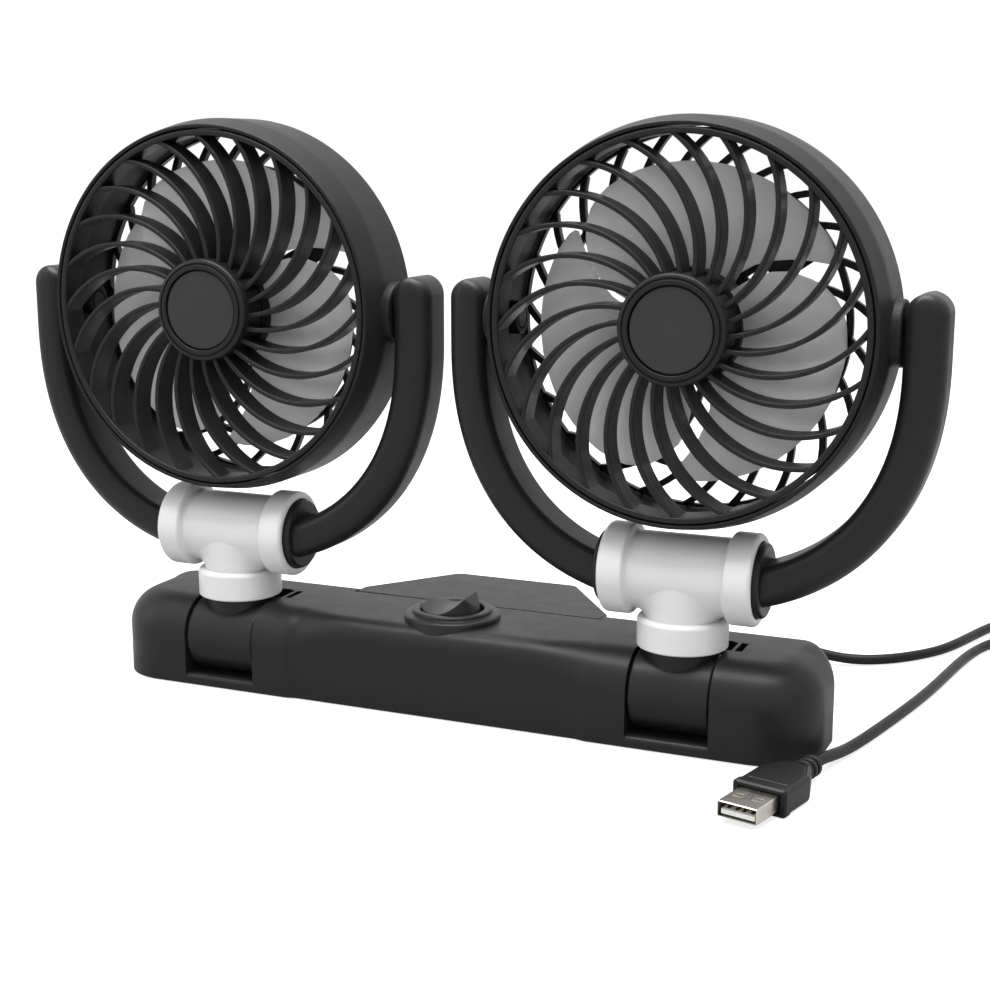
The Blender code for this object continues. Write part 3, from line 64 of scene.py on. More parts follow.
CORD_R = 1.75 * MM
LEAD_X, LEAD_Z, LEAD_STEP, TAIL_STEP = 50.7, 8.0, 2.5 * MM, 3 * MM
LEAD_ROUTE = (
    (50.7, 18.0, 8.0), (50.7, 25.0, 8.0), (50.7, 31.0, 8.0), (50.7, 36.0, 7.8), (50.7, 42.0, 6.5),
    (50.7, 48.0, 4.3), (50.7, 53.0, 2.95), (50.7, 58.2, 2.65))
TAIL_ROUTE = (
    (81.6, 89.1, 6.75), (88.5, 89.1, 6.6), (97.0, 90.2, 4.9), (107.0, 93.2, 2.7), (118.0, 98.5, 1.9),
    (128.5, 107.5, 1.9), (136.5, 119.0, 1.9), (142.0, 133.0, 1.9), (147.0, 149.0, 1.9),
    (154.5, 164.0, 1.9), (167.0, 170.5, 1.9), (178.5, 163.0, 1.9), (178.0, 151.0, 1.9),
    (166.0, 144.5, 1.9), (155.5, 138.5, 1.9), (149.5, 127.0, 1.9), (145.5, 109.0, 1.9),
    (141.5, 79.0, 1.9), (137.5, 54.0, 1.9), (133.5, 34.0, 1.9), (129.4, 15.5, 1.9), (126.1, 2.0, 2.4),
    (123.9, -7.1, 3.6), (122.7, -12.0, 4.1), (121.6, -16.7, 4.1))
COIL_INNER_R, COIL_PITCH, COIL_LAYER = 13.9 * MM, 4.6 * MM, 4.1 * MM
COIL_TURNS, CLIMB_TURNS, COIL_POINTS = 6.25, 0.5, 48
COIL_Y, COIL_LOW = 62.0 * MM, 2.65 * MM
SPIRAL_TURNS = (COIL_TURNS - CLIMB_TURNS) / 2
COIL_R = COIL_INNER_R + COIL_PITCH * SPIRAL_TURNS
COIL_PLACE = np.array((LEAD_X * MM + COIL_R, COIL_Y, COIL_LOW))


def smooth(route, step, span_points=40):
    """Points a step apart along the natural cubic spline through a route's points, taken by chord
    length: each span's cubic is read at many points, and the line through them is cut evenly."""
    places = np.array(route) * MM
    run = np.concatenate([[0.0], np.cumsum(np.linalg.norm(np.diff(places, axis=0), axis=1))])
    width = np.diff(run)[:, None]
    slope = np.diff(places, axis=0) / width
    last = len(places) - 1
    matrix = np.eye(last + 1)
    for i in range(1, last):
        matrix[i, i - 1:i + 2] = width[i - 1, 0], 2 * (width[i - 1, 0] + width[i, 0]), width[i, 0]
    change = np.zeros_like(places)
    change[1:last] = 6 * np.diff(slope, axis=0)
    bend = np.linalg.solve(matrix, change)
    at = np.linspace(0, run[-1], span_points * last)
    i = np.clip(np.searchsorted(run, at) - 1, 0, last - 1)
    on = (at - run[i])[:, None]
    start = slope[i] - width[i] * (2 * bend[i] + bend[i + 1]) / 6
    twist = (bend[i + 1] - bend[i]) / (6 * width[i])
    fine = places[i] + on * start + on ** 2 * bend[i] / 2 + on ** 3 * twist
    way = np.concatenate([[0.0], np.cumsum(np.linalg.norm(np.diff(fine, axis=0), axis=1))])
    even = np.linspace(0, way[-1], round(way[-1] / step) + 1)
    return np.column_stack([np.interp(even, way, fine[:, axis]) for axis in range(3)])


def coil_line():
    """Turns that spiral in, climb a layer over half a turn and spiral out again on top: the radius
    falls by a pitch each turn, stays during the climb and grows by a pitch each turn."""
    turns = np.linspace(0, COIL_TURNS, round(COIL_TURNS * COIL_POINTS) + 1)
    out = np.maximum(SPIRAL_TURNS - turns, 0) + np.maximum(turns - SPIRAL_TURNS - CLIMB_TURNS, 0)
    radius = COIL_INNER_R + COIL_PITCH * out
    climb = np.clip((turns - SPIRAL_TURNS) / CLIMB_TURNS, 0, 1)
    angle = math.pi - 2 * math.pi * turns
    return COIL_PLACE + np.column_stack(
        [radius * np.cos(angle), radius * np.sin(angle), COIL_LAYER * climb])


def feed(tree, value, socket):
    """A plain number is set on a socket, and another node's output is linked to it."""
    if isinstance(value, float):
        socket.default_value = value
    else:
        tree.links.new(value, socket)


def grain_group(patches=70.0, sheen_patches=160.0):
    """Moulded grain, from three noises on one place: the colour is scaled by 1 plus or minus the
    spread over some 14 mm, the sheen wanders over some 6 mm, and fine grains make the height."""
    group = bpy.data.node_groups.new("moulded grain", "ShaderNodeTree")
    kinds = {"Place": "NodeSocketVector", "Colour": "NodeSocketColor"}
    for name in ("Place", "Colour", "Spread", "Sheen", "Sheen spread", "Grains"):
        kind = kinds.get(name, "NodeSocketFloat")
        group.interface.new_socket(name, in_out="INPUT", socket_type=kind)
    for name in ("Colour", "Sheen", "Height"):
        kind = kinds.get(name, "NodeSocketFloat")
        group.interface.new_socket(name, in_out="OUTPUT", socket_type=kind)
    start = group.nodes.new("NodeGroupInput")
    end = group.nodes.new("NodeGroupOutput")
    given = start.outputs
    link = group.links.new

    def noise(scale, detail):
        """Noise on the place, whose scale counts patches a metre."""
        made = group.nodes.new("ShaderNodeTexNoise")
        made.inputs["Detail"].default_value = detail
        feed(group, scale, made.inputs["Scale"])
        link(given["Place"], made.inputs["Vector"])
        return made.outputs["Fac"]

    def multiply_add(*terms):
        """The first term times the second, plus the third."""
        made = group.nodes.new("ShaderNodeMath")
        made.operation = "MULTIPLY_ADD"
        for term, socket in zip(terms, made.inputs):
            feed(group, term, socket)
        return made.outputs[0]

    def wander(source, spread, middle):
        """middle + spread * (2 * noise - 1)"""
        return multiply_add(multiply_add(source, 2.0, -1.0), spread, middle)

    scaled = group.nodes.new("ShaderNodeVectorMath")
    scaled.operation = "SCALE"
    sheen = wander(noise(sheen_patches, 3.0), given["Sheen spread"], given["Sheen"])
    link(given["Colour"], scaled.inputs[0])
    link(wander(noise(patches, 4.0), given["Spread"], 1.0), scaled.inputs["Scale"])
    link(scaled.outputs[0], end.inputs["Colour"])
    link(sheen, end.inputs["Sheen"])
    link(noise(given["Grains"], 2.0), end.inputs["Height"])
    return group


GRAIN = grain_group()


def moulded(name, colour, sheen, spread=0.12, sheen_spread=0.08, grains=2200.0, depth=0.03,
            metal=0.0, alpha=1.0, gloss=0.5):
    """A finish whose colour, sheen and pits come from the grain group: spread and sheen_spread are
    how far the first two wander, grains counts pits a metre, and depth is theirs in mm."""
    made = bpy.data.materials.new(name)
    made.use_nodes = True
    tree = made.node_tree
    shader = tree.nodes["Principled BSDF"]
    shader.inputs["Metallic"].default_value = metal
    shader.inputs["Alpha"].default_value = alpha
    shader.inputs["Specular IOR Level"].default_value = gloss
    place = tree.nodes.new("ShaderNodeTexCoord")
    grain = tree.nodes.new("ShaderNodeGroup")
    grain.node_tree = GRAIN
    for socket, value in (("Colour", (*colour, 1.0)), ("Spread", spread), ("Sheen", sheen),
                          ("Sheen spread", sheen_spread), ("Grains", grains)):
        grain.inputs[socket].default_value = value
    bump = tree.nodes.new("ShaderNodeBump")
    bump.inputs["Distance"].default_value = depth * MM
    for source, target in ((place.outputs["Object"], grain.inputs["Place"]),
                           (grain.outputs["Colour"], shader.inputs["Base Color"]),
                           (grain.outputs["Sheen"], shader.inputs["Roughness"]),
                           (grain.outputs["Height"], bump.inputs["Height"]),
                           (bump.outputs["Normal"], shader.inputs["Normal"])):
        tree.links.new(source, target)
    return made


CORD_PVC = moulded("cord PVC", (0.006, 0.006, 0.0065), 0.36, grains=900.0, depth=0.02, gloss=0.16)
PLUG_PVC = moulded("plug PVC", (0.008, 0.008, 0.0085), 0.36, grains=2600.0, depth=0.03, gloss=0.2)

straight = 2 * CORD_R
turns = coil_line()
cord_points = np.vstack([
    smooth(LEAD_ROUTE, LEAD_STEP), turns[0] - (0, straight, 0), turns,
    turns[-1] + (straight, 0, 0), smooth(TAIL_ROUTE, TAIL_STEP)])
cord_curve = bpy.data.curves.new("cord", "CURVE")
cord_curve.dimensions = "3D"
cord_curve.bevel_depth = CORD_R
cord_curve.bevel_resolution = 4
cord_curve.use_fill_caps = True
cord_line = cord_curve.splines.new("POLY")
cord_line.points.add(len(cord_points) - 1)
cord_places = np.column_stack([cord_points, np.ones(len(cord_points))])
cord_line.points.foreach_set("co", cord_places.ravel())
cord_curve.materials.append(CORD_PVC)
cord = bpy.data.objects.new("cord", cord_curve)
bpy.context.scene.collection.objects.link(cord)
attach(cord, "base")
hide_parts("cord_lead", "cord_coil", "cord_tail")

# Plug: a black PVC body moulded over a folded nickel-plated shell, with a flat panel on its top, a
# raised frame round its mouth, and three rings behind that let the cord bend.

PLUG_AT, PLUG_TURN = np.array((121.53, -17.0, 4.1)), math.radians(-103.7)
RELIEF_HOLE, RELIEF_NECK, RELIEF_RING, RELIEF_END = 1.7, 2.5, 3.3, 9.0
RING_STARTS = (0.0, 2.67, 5.33)
SHELL_SUNK, WINDOW_ALONG, WINDOW_OUT = 2.2, 37.4, 2.9
SEAM_WIDE, SEAM_HIGH = 0.22, 0.07
CONTACTS_ACROSS = (-3.5, -1.0, 1.0, 3.5)


def rounded_outline(corners, steps=5):
    """A closed outline of (a, b, radius) corners in mm. At each corner the points turn evenly
    about a centre on its halving line, radius / sin(half the corner) away from it."""
    corners = np.array(corners, dtype=float)
    at, radius = corners[:, :2], corners[:, 2:]
    back = np.roll(at, 1, axis=0) - at
    ahead = np.roll(at, -1, axis=0) - at
    back /= np.linalg.norm(back, axis=1, keepdims=True)
    ahead /= np.linalg.norm(ahead, axis=1, keepdims=True)
    half = np.arccos(np.clip((back * ahead).sum(axis=1, keepdims=True), -1, 1)) / 2
    middle = back + ahead
    middle /= np.maximum(np.linalg.norm(middle, axis=1, keepdims=True), 1e-9)
    centre = at + middle * radius / np.sin(half)
    first = at + back * radius / np.tan(half) - centre
    last = at + ahead * radius / np.tan(half) - centre
    sweep = np.maximum(math.pi - 2 * half, 1e-6)
    share = np.linspace(0, 1, steps + 1)
    rise = (np.sin((1 - share) * sweep) / np.sin(sweep))[..., None]
    fall = (np.sin(share * sweep) / np.sin(sweep))[..., None]
    points = centre[:, None] + rise * first[:, None] + fall * last[:, None]
    return points.reshape(-1, 2)


def turned(outline, centre, axis, steps=96):
    """A (radius, along) outline turned about an axis: radius * cos and radius * sin of each angle
    across it, along on it, round a centre in mm."""
    angle = np.linspace(0, 2 * math.pi, steps, endpoint=False)
    radius, along = outline[:, :1], np.repeat(outline[:, 1:], steps, axis=1)
    parts = (radius * np.cos(angle), radius * np.sin(angle), along)
    order = {"X": (2, 0, 1), "Y": (0, 2, 1), "Z": (0, 1, 2)}[axis]
    return np.stack([parts[i] for i in order], axis=-1) + np.array(centre)


def spun(first, second, angle):
    """Two coordinates a and b turned by an angle: a cos - b sin and a sin + b cos."""
    cos, sin = np.cos(angle), np.sin(angle)
    return first * cos - second * sin, first * sin + second * cos


def level(plan, height):
    """The points of an outline in plan, all at one height."""
    return np.column_stack([plan, np.full(len(plan), height)])


def make_piece(name, surfaces, material, body, node, crease=35.0, bevel=0.0, merge=0.002):
    """One mesh from closed surfaces in mm. Each is a grid of rows and columns: the columns of a
    tube close and its end rows are capped, a cup is capped at its last row only, both ways of a
    ring close, and a sheet stays open and joins its neighbour where their points meet."""
    points, faces, start = [], [], 0
    for grid, kind in surfaces:
        index = start + np.arange(grid.shape[0] * grid.shape[1]).reshape(grid.shape[:2])
        start += index.size
        points.append(grid.reshape(-1, 3))
        if kind != "sheet":
            index = np.column_stack([index, index[:, 0]])
        if kind == "ring":
            index = np.vstack([index, index[:1]])
        quads = np.stack([index[:-1, :-1], index[:-1, 1:], index[1:, 1:], index[1:, :-1]], axis=-1)
        faces += quads.reshape(-1, 4).tolist()
        if kind == "tube":
            faces.append(index[0, :-1].tolist())
        if kind in ("tube", "cup"):
            faces.append(index[-1, :-1].tolist())
    mesh = bpy.data.meshes.new(name)
    mesh.from_pydata(np.vstack(points) * MM, [], faces)
    work = bmesh.new()
    work.from_mesh(mesh)
    bmesh.ops.remove_doubles(work, verts=work.verts, dist=merge * MM)
    bmesh.ops.recalc_face_normals(work, faces=work.faces)
    work.to_mesh(mesh)
    work.free()
    mesh.shade_smooth()
    mesh.set_sharp_from_angle(angle=math.radians(crease))
    mesh.materials.append(material)
    made = bpy.data.objects.new(name, mesh)
    bpy.context.scene.collection.objects.link(made)
    if bevel:
        edge = made.modifiers.new("moulded edge", "BEVEL")
        edge.width = bevel * MM
        edge.segments = 3
        edge.limit_method = "ANGLE"
        edge.angle_limit = math.radians(crease)
    flat = made.modifiers.new("flat faces stay flat", "WEIGHTED_NORMAL")
    flat.keep_sharp = True
    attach(made, body)
    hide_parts(node)
    return made


def section(wide, thick, corner):
    """The rounded oblong outline of a plug part, (across, up), by its half sizes."""
    return rounded_outline([(-wide, -thick, corner), (wide, -thick, corner),
                            (wide, thick, corner), (-wide, thick, corner)], 4)


def plug_place(grid):
    """Turned about Z by the plug's own angle, then moved to its tail."""
    x, y, z = np.moveaxis(grid, -1, 0)
    return np.stack([*spun(x, y, PLUG_TURN), z], axis=-1) + PLUG_AT


def plug_rows(stations):
    """Sections (along, half width, half thickness, corner, lift) stacked along the plug's own
    axis, then turned and placed."""
    rows = []
    for along, wide, thick, corner, lift in stations:
        cut = section(wide, thick, corner)
        rows.append(np.column_stack([np.full(len(cut), along), cut[:, 0], cut[:, 1] + lift]))
    return plug_place(np.array(rows))


plug_body = plug_rows([
    (8.0, 3.2, 2.5, 1.0, 0), (8.3, 3.8, 3.1, 1.3, 0), (9.2, 4.3, 3.4, 1.4, 0),
    (16.6, 7.6, 3.75, 1.4, 0), (17.6, 7.9, 3.8, 1.4, 0), (28.9, 7.95, 3.8, 1.4, 0),
    (29.2, 8.2, 4.0, 1.3, 0), (31.4, 8.2, 4.0, 1.3, 0), (32.0, 7.7, 3.5, 1.0, 0),
    (32.0, 6.5, 2.75, 0.6, 0), (31.0, 6.4, 2.6, 0.5, 0)])
panel_plan = rounded_outline([(11.6, -3.6, 0.8), (17.6, -6.2, 1.5), (27.6, -6.3, 0.8),
                              (27.6, 6.3, 0.8), (17.6, 6.2, 1.5), (11.6, 3.6, 0.8)], 4)
panel_middle = np.array((20.0, 0.0))
panel = plug_place(np.array([level(panel_middle + (panel_plan - panel_middle) * size, height)
                             for size, height in ((1.0, 3.5), (1.0, 3.86), (0.975, 4.0))]))
rings = []
for low in RING_STARTS:
    rings += [(RELIEF_RING, low, 0.5), (RELIEF_RING, low + 1.65, 0.5),
              (RELIEF_NECK, low + 1.75, 0.1), (RELIEF_NECK, low + 2.6, 0.1)]
relief = rounded_outline([(RELIEF_HOLE, 0, 0), *rings, (RELIEF_NECK, RELIEF_END, 0),
                          (RELIEF_HOLE, RELIEF_END, 0)], 4)
relief_surface = plug_place(turned(relief, (0, 0, 0), "X", 40))
plug_moulding = make_piece(
    "plug_moulding", [(plug_body, "tube"), (panel, "tube"), (relief_surface, "ring")],
    PLUG_PVC, "base", "plug_body", crease=30.0)

NICKEL = moulded("nickel plate", (0.56, 0.54, 0.50), 0.27, spread=0.06, sheen_spread=0.1,
                 grains=1400.0, depth=0.006, metal=1.0)
shell_tube = plug_rows([(29.4, 6.0, 2.25, 0.5, 0), (43.8, 6.0, 2.25, 0.5, 0),
                        (44.0, 5.85, 2.1, 0.4, 0), (44.0, 5.7, 1.95, 0.3, 0),
                        (29.4, 5.65, 1.9, 0.3, 0)])
shell_surfaces = [(shell_tube, "ring")]
for side in (-1, 1):
    for face in (-1, 1):
        window = []
        for half, height in ((1.5, SHELL_SUNK), (1.5, 2.36), (1.15, 2.36), (1.15, SHELL_SUNK)):
            cut = section(half, half * 0.8, 0.35)[:, ::-1] + (WINDOW_ALONG, side * WINDOW_OUT)
            window.append(level(cut, face * height))
        shell_surfaces.append((plug_place(np.array(window)), "ring"))
plug_shell = make_piece("plug_shell_folded", shell_surfaces, NICKEL, "base", "plug_shell",
                        crease=30.0)

SEAM_DARK = moulded("seam shadow", (0.02, 0.02, 0.02), 0.6, depth=0.01)
seam_way = np.array([(32.0, 0.3), (34.4, 0.3), (34.4, -0.9), (36.2, -0.9), (36.2, 0.6),
                     (38.4, 0.6)])


def seam_strip(way):
    """A flat strip along a line in plan: each point moved half the width to either side of the
    line's mean direction there."""
    ahead = np.gradient(way, axis=0)
    ahead /= np.linalg.norm(ahead, axis=1, keepdims=True)
    side = np.column_stack([-ahead[:, 1], ahead[:, 0]]) * SEAM_WIDE / 2
    corners = ((1, 0), (1, 1), (-1, 1), (-1, 0))
    rows = [level(way + out * side, SHELL_SUNK + up * SEAM_HIGH) for out, up in corners]
    return np.stack(rows, axis=1)


plug_seam = make_piece("plug_shell_seam", [(plug_place(seam_strip(seam_way)), "tube")], SEAM_DARK,
                       "base", "plug_shell")

TONGUE_PALE = moulded("tongue plastic", (0.62, 0.62, 0.60), 0.45, grains=1800.0)
tongue = plug_rows([(30.2, 5.2, 0.8, 0.2, -0.8), (43.0, 5.2, 0.8, 0.2, -0.8),
                    (43.4, 5.0, 0.6, 0.2, -0.8)])
plug_tongue = make_piece("plug_tongue_moulded", [(tongue, "tube")], TONGUE_PALE, "base",
                         "plug_tongue")

GOLD = moulded("contact gold", (0.80, 0.60, 0.26), 0.25, spread=0.05, sheen_spread=0.05,
               depth=0.004, metal=1.0)
strip = plug_rows([(33.0, 0.5, 0.08, 0.05, 0.05), (42.6, 0.5, 0.08, 0.05, 0.05)])
contacts = [(strip + plug_place(np.array((0.0, across, 0.0))) - PLUG_AT, "tube")
            for across in CONTACTS_ACROSS]
plug_contacts = make_piece("plug_contacts", contacts, GOLD, "base", "plug_tongue")

# Strap: a flat black PVC band with rounded corners, wrapped once round all turns of the coil to
# hold them together.

STRAP_NEAR, STRAP_FAR, STRAP_LOW, STRAP_HIGH, STRAP_BEND = 11.5, 29.3, 0.6, 8.8, 1.5
STRAP_HALF, STRAP_THICK, STRAP_TURN = 3.0, 0.5, math.radians(-60.0)
strap_in = rounded_outline([
    (STRAP_NEAR, STRAP_LOW, STRAP_BEND), (STRAP_FAR, STRAP_LOW, STRAP_BEND),
    (STRAP_FAR, STRAP_HIGH, STRAP_BEND), (STRAP_NEAR, STRAP_HIGH, STRAP_BEND)])
strap_middle = np.array((STRAP_NEAR + STRAP_FAR, STRAP_LOW + STRAP_HIGH)) / 2
strap_out = strap_in + np.sign(strap_in - strap_middle) * STRAP_THICK
strap_rows = [level(path, side * STRAP_HALF)[:, (0, 2, 1)]
              for path, side in ((strap_in, -1), (strap_out, -1), (strap_out, 1), (strap_in, 1))]
x, y, z = np.moveaxis(np.array(strap_rows), -1, 0)
strap_grid = np.stack([*spun(x, y, STRAP_TURN), z], axis=-1)
strap_grid = strap_grid + (COIL_PLACE[0] / MM, COIL_PLACE[1] / MM, 0)
coil_strap = make_piece("coil_strap", [(strap_grid, "ring")], CORD_PVC, "base", "cord_tie")

# Gland: a soft PVC bush pressed into the back of the base, with a flange and a grooved tail that
# lets the cord bend.

gland_outline = rounded_outline([
    (1.95, 20.9, 0.1), (3.2, 20.9, 0.2), (3.2, 26.1, 0.1), (4.4, 26.1, 0.2), (4.4, 27.4, 0.5),
    (3.2, 27.6, 0.2), (3.1, 29.2, 0.3), (2.5, 29.4, 0.1), (2.5, 30.0, 0.1), (3.0, 30.2, 0.3),
    (2.9, 31.8, 0.3), (2.4, 32.0, 0.1), (2.4, 32.6, 0.1), (2.8, 32.8, 0.3), (2.7, 34.4, 0.4),
    (1.95, 34.4, 0.2)], 3)
make_piece("cord_gland", [(turned(gland_outline, (LEAD_X, 0, LEAD_Z), "Y", 48), "ring")], CORD_PVC,
           "base", "cable_gland")

# Base housing: one long black ABS moulding with softly rounded pods at its ends. Two slots take the
# knuckles, with a seam notch and a vent slit right of each, and the middle carries the switch.

DARK = moulded("dark plastic", (0.010, 0.010, 0.0105), 0.40, gloss=0.2)
BASE_HALF, BASE_FRONT, BASE_BACK, BASE_TOP, BASE_FOOT = 120.5, -15.3, 26.0, 28.8, 0.5
FRONT_ROUND, BACK_ROUND, FRONT_CORNER, BACK_CORNER = 12.0, 4.0, 19.0, 12.0
WALL, PLATE_TOP = 2.0, 2.5
HEAD_X, SLOT_HALF, SLOT_BACK, LEDGE, LIP_ROUND = 77.3, 12.92, 12.6, 4.0, 1.5
HEADS = (("left", -HEAD_X), ("right", HEAD_X))
COVER_EDGE, COVER_SEAM, SEAM_ROUND = 44.3, 19.55, 0.8
PIT_HALF, PIT_Y, PIT_DEEP = 10.6, 2.5, 6.0
VENTS, VENT_FRONT, VENT_BACK, VENT_DEEP = ((12.92, 14.32), (15.32, 17.52)), 2.7, 11.7, 4.0
WAIST_SET, WAIST_FROM, WAIST_TO = 0.8, 48.0, 52.0
WAIST_ROUND, ROUND_FROM, ROUND_TO = 6.0, 30.0, 60.0
CLIFF, CLIFF_CLEAR, COLUMN_STEP, PIT_COLUMNS = 0.0005, 0.2, 1.25, 12.0


def ease(low, high, value):
    """0 below low and 1 above high, by the cubic 3t^2 - 2t^3 between them."""
    share = np.clip((value - low) / (high - low), 0, 1)
    return share * share * (3 - 2 * share)


def fillet(distance, radius):
    """How far a quarter round of a radius has fallen at a distance inside the edge."""
    left = np.clip(radius - distance, 0, radius)
    return radius - np.sqrt(np.maximum(radius ** 2 - left ** 2, 0))


def base_front(x):
    """The front line: level, set back a little at the waist, and round at the corners."""
    far = np.abs(x)
    out = np.clip(far - (BASE_HALF - FRONT_CORNER), 0, FRONT_CORNER)
    waist = WAIST_SET * (1 - ease(WAIST_FROM, WAIST_TO, far))
    return BASE_FRONT + waist + fillet(FRONT_CORNER - out, FRONT_CORNER)


def base_back(x):
    """The back line: round at the corners, and stepped forward where the rear cover stands."""
    out = np.clip(np.abs(x) - (BASE_HALF - BACK_CORNER), 0, BACK_CORNER)
    line = BASE_BACK - fillet(BACK_CORNER - out, BACK_CORNER)
    return np.where(np.abs(x) < COVER_EDGE, COVER_SEAM, line)


def base_top(x, y):
    """The height: the top less the deepest of the rounds, each a fillet of the distance inside
    the front and ends, the back, or the corners' circles, then less the seam along the rear
    cover, and lower in the slots, the vents and the switch's pit."""
    far = np.abs(x)
    cx, cy = far - (BASE_HALF - FRONT_CORNER), BASE_FRONT + FRONT_CORNER - y
    edge = np.minimum(y - base_front(np.minimum(far, BASE_HALF - FRONT_CORNER)), BASE_HALF - far)
    edge = np.where((cx > 0) & (cy > 0), FRONT_CORNER - np.hypot(cx, cy), edge)
    bx, by = far - (BASE_HALF - BACK_CORNER), y - (BASE_BACK - BACK_CORNER)
    corner = (bx > 0) & (by > 0)
    turn = ease(0, math.pi / 2, np.arctan2(by, bx))
    corner_round = FRONT_ROUND + (BACK_ROUND - FRONT_ROUND) * turn
    inside = BACK_CORNER - np.hypot(bx, by)
    front_round = WAIST_ROUND + (FRONT_ROUND - WAIST_ROUND) * ease(ROUND_FROM, ROUND_TO, far)
    drop = np.maximum(fillet(edge, front_round), fillet(BASE_BACK - y, BACK_ROUND))
    height = BASE_TOP - np.where(corner, fillet(inside, corner_round), drop)
    height = height - np.where(far < COVER_EDGE, fillet(COVER_SEAM - y, SEAM_ROUND), 0)
    for _, head in HEADS:
        in_slot = (np.abs(x - head) < SLOT_HALF) & (y < SLOT_BACK)
        lip = LEDGE - fillet(y - BASE_FRONT, LIP_ROUND)
        height = np.where(in_slot, lip, height)
        for low, high in VENTS:
            in_vent = (x > head + low) & (x < head + high) & (y > VENT_FRONT) & (y < VENT_BACK)
            height = np.where(in_vent, height - VENT_DEEP, height)
    in_pit = (far < PIT_HALF) & (np.abs(y - PIT_Y) < PIT_HALF)
    return np.where(in_pit, BASE_TOP - PIT_DEEP, height)


def base_columns():
    """Places along x: even ones, ones that close up towards the ends, and a pair at each cliff."""
    ends = BASE_HALF - FRONT_CORNER * (1 - np.sin(np.linspace(0, math.pi / 2, 22)))
    plain = np.concatenate([np.arange(0, BASE_HALF - FRONT_CORNER - 0.5, COLUMN_STEP), ends])
    plain = np.concatenate([-plain, plain])
    cliffs = [-COVER_EDGE, COVER_EDGE, -PIT_HALF, PIT_HALF]
    for _, head in HEADS:
        cliffs += [head - SLOT_HALF, head + SLOT_HALF, head + VENTS[0][1],
                   *(head + np.array(VENTS[1]))]
    cliffs = np.array(cliffs)
    plain = plain[np.abs(plain[:, None] - cliffs).min(axis=1) > CLIFF_CLEAR]
    return np.unique(np.round(np.concatenate([plain, cliffs - CLIFF, cliffs + CLIFF]), 6))


def base_stations(back_edge):
    """Depths between the rounds, with a pair at both ends of the vents and at a back edge."""
    pair = np.array((-CLIFF, CLIFF))
    return np.concatenate([[-1.5, 0.6], VENT_FRONT + pair, [4.5, 7.2, 9.9], VENT_BACK + pair,
                           back_edge + pair, [15.0, 17.5, 20.0]])


def base_grid():
    """Rows that follow the front line, then stand at fixed depths, then follow the back line. The
    steps from either line close up to it, as 1 less the cosine of an even angle."""
    x = base_columns()[:, None]
    front, back = base_front(x), base_back(x)
    middle = np.abs(x) < PIT_COLUMNS
    steps = FRONT_ROUND * (1 - np.cos(np.linspace(0, math.pi / 2, 15)))
    pit_front = PIT_Y - PIT_HALF - (BASE_FRONT + WAIST_SET)
    near = np.argsort(np.abs(steps - pit_front))[:2]
    pit_steps = steps.copy()
    pit_steps[np.sort(near)] = pit_front - CLIFF, pit_front + CLIFF
    last = back - BACK_ROUND
    leading = np.minimum(front + np.where(middle, pit_steps, steps), last)
    fixed = np.where(middle, base_stations(PIT_Y + PIT_HALF), base_stations(SLOT_BACK))
    fixed = np.clip(fixed, leading[:, -1:], last)
    trailing = back - BACK_ROUND * (1 - np.cos(np.linspace(math.pi / 2, 0, 8)))
    y = np.column_stack([leading, fixed, trailing])
    x = np.broadcast_to(x, y.shape)
    return np.stack([x, y, base_top(x, y)], axis=-1)


def base_rim(grid):
    """The grid's edge, taken down to the foot, inwards by the wall and up to the bottom plate."""
    rim = np.vstack([grid[:-1, 0], grid[-1, :-1], grid[:0:-1, -1], grid[0, :0:-1]])
    x, y = rim[:, 0], rim[:, 1]
    front, back = BASE_FRONT + FRONT_CORNER, BASE_BACK - BACK_CORNER
    corner = np.where(y < front, FRONT_CORNER, BACK_CORNER)
    across = np.sign(x) * np.maximum(np.abs(x) - (BASE_HALF - corner), 0)
    along = np.minimum(y - front, 0) + np.maximum(y - back, 0)
    away = np.column_stack([across, along])
    away /= np.maximum(np.linalg.norm(away, axis=1, keepdims=True), 1e-6)
    wall = rim[:, :2] - WALL * away
    return np.array([rim, level(rim[:, :2], BASE_FOOT), level(wall, BASE_FOOT),
                     level(wall, PLATE_TOP)])


base_surface = base_grid()
make_piece("base_moulding", [(base_surface, "sheet"), (base_rim(base_surface), "cup")], DARK,
           "base", "base_housing", crease=38.0)

# Rear cover: a second black ABS moulding that narrows to the back, with a softened top edge. It is
# snapped on behind the switch, level with the top of the base.

COVER_HALF, COVER_FRONT, COVER_KNEE, COVER_BACK, COVER_CORNER = 44.0, 20.0, 26.0, 56.0, 4.0
COVER_SLOPE = 22.0 / 30.0


def cover_outline(margin):
    """The cover's plan, its slanted sides and corners set in by a margin: straight to the knee,
    then in by the slope times the way back."""
    lean = math.hypot(1, COVER_SLOPE)

    def side(y):
        return COVER_HALF - max(y - COVER_KNEE, -margin) * COVER_SLOPE - margin * lean

    knee, back = COVER_KNEE - margin, COVER_BACK - margin
    half = [(side(COVER_FRONT), COVER_FRONT + margin, 0), (side(knee), knee, 0),
            (side(back), back, COVER_CORNER - margin)]
    return rounded_outline(half + [(-x, y, radius) for x, y, radius in reversed(half)], 6)


cover_steps = ((WALL, PLATE_TOP), (WALL, BASE_FOOT), (0.0, BASE_FOOT), (0.0, BASE_TOP))
cover_rows = [level(cover_outline(margin), height) for margin, height in cover_steps]
make_piece("rear_cover_moulding", [(np.array(cover_rows), "tube")], DARK, "base", "rear_cover",
           crease=40.0, bevel=1.3)

# Adhesive pad: a thin die-cut plate of black closed-cell foam with a sticky face, stuck under the
# long base.

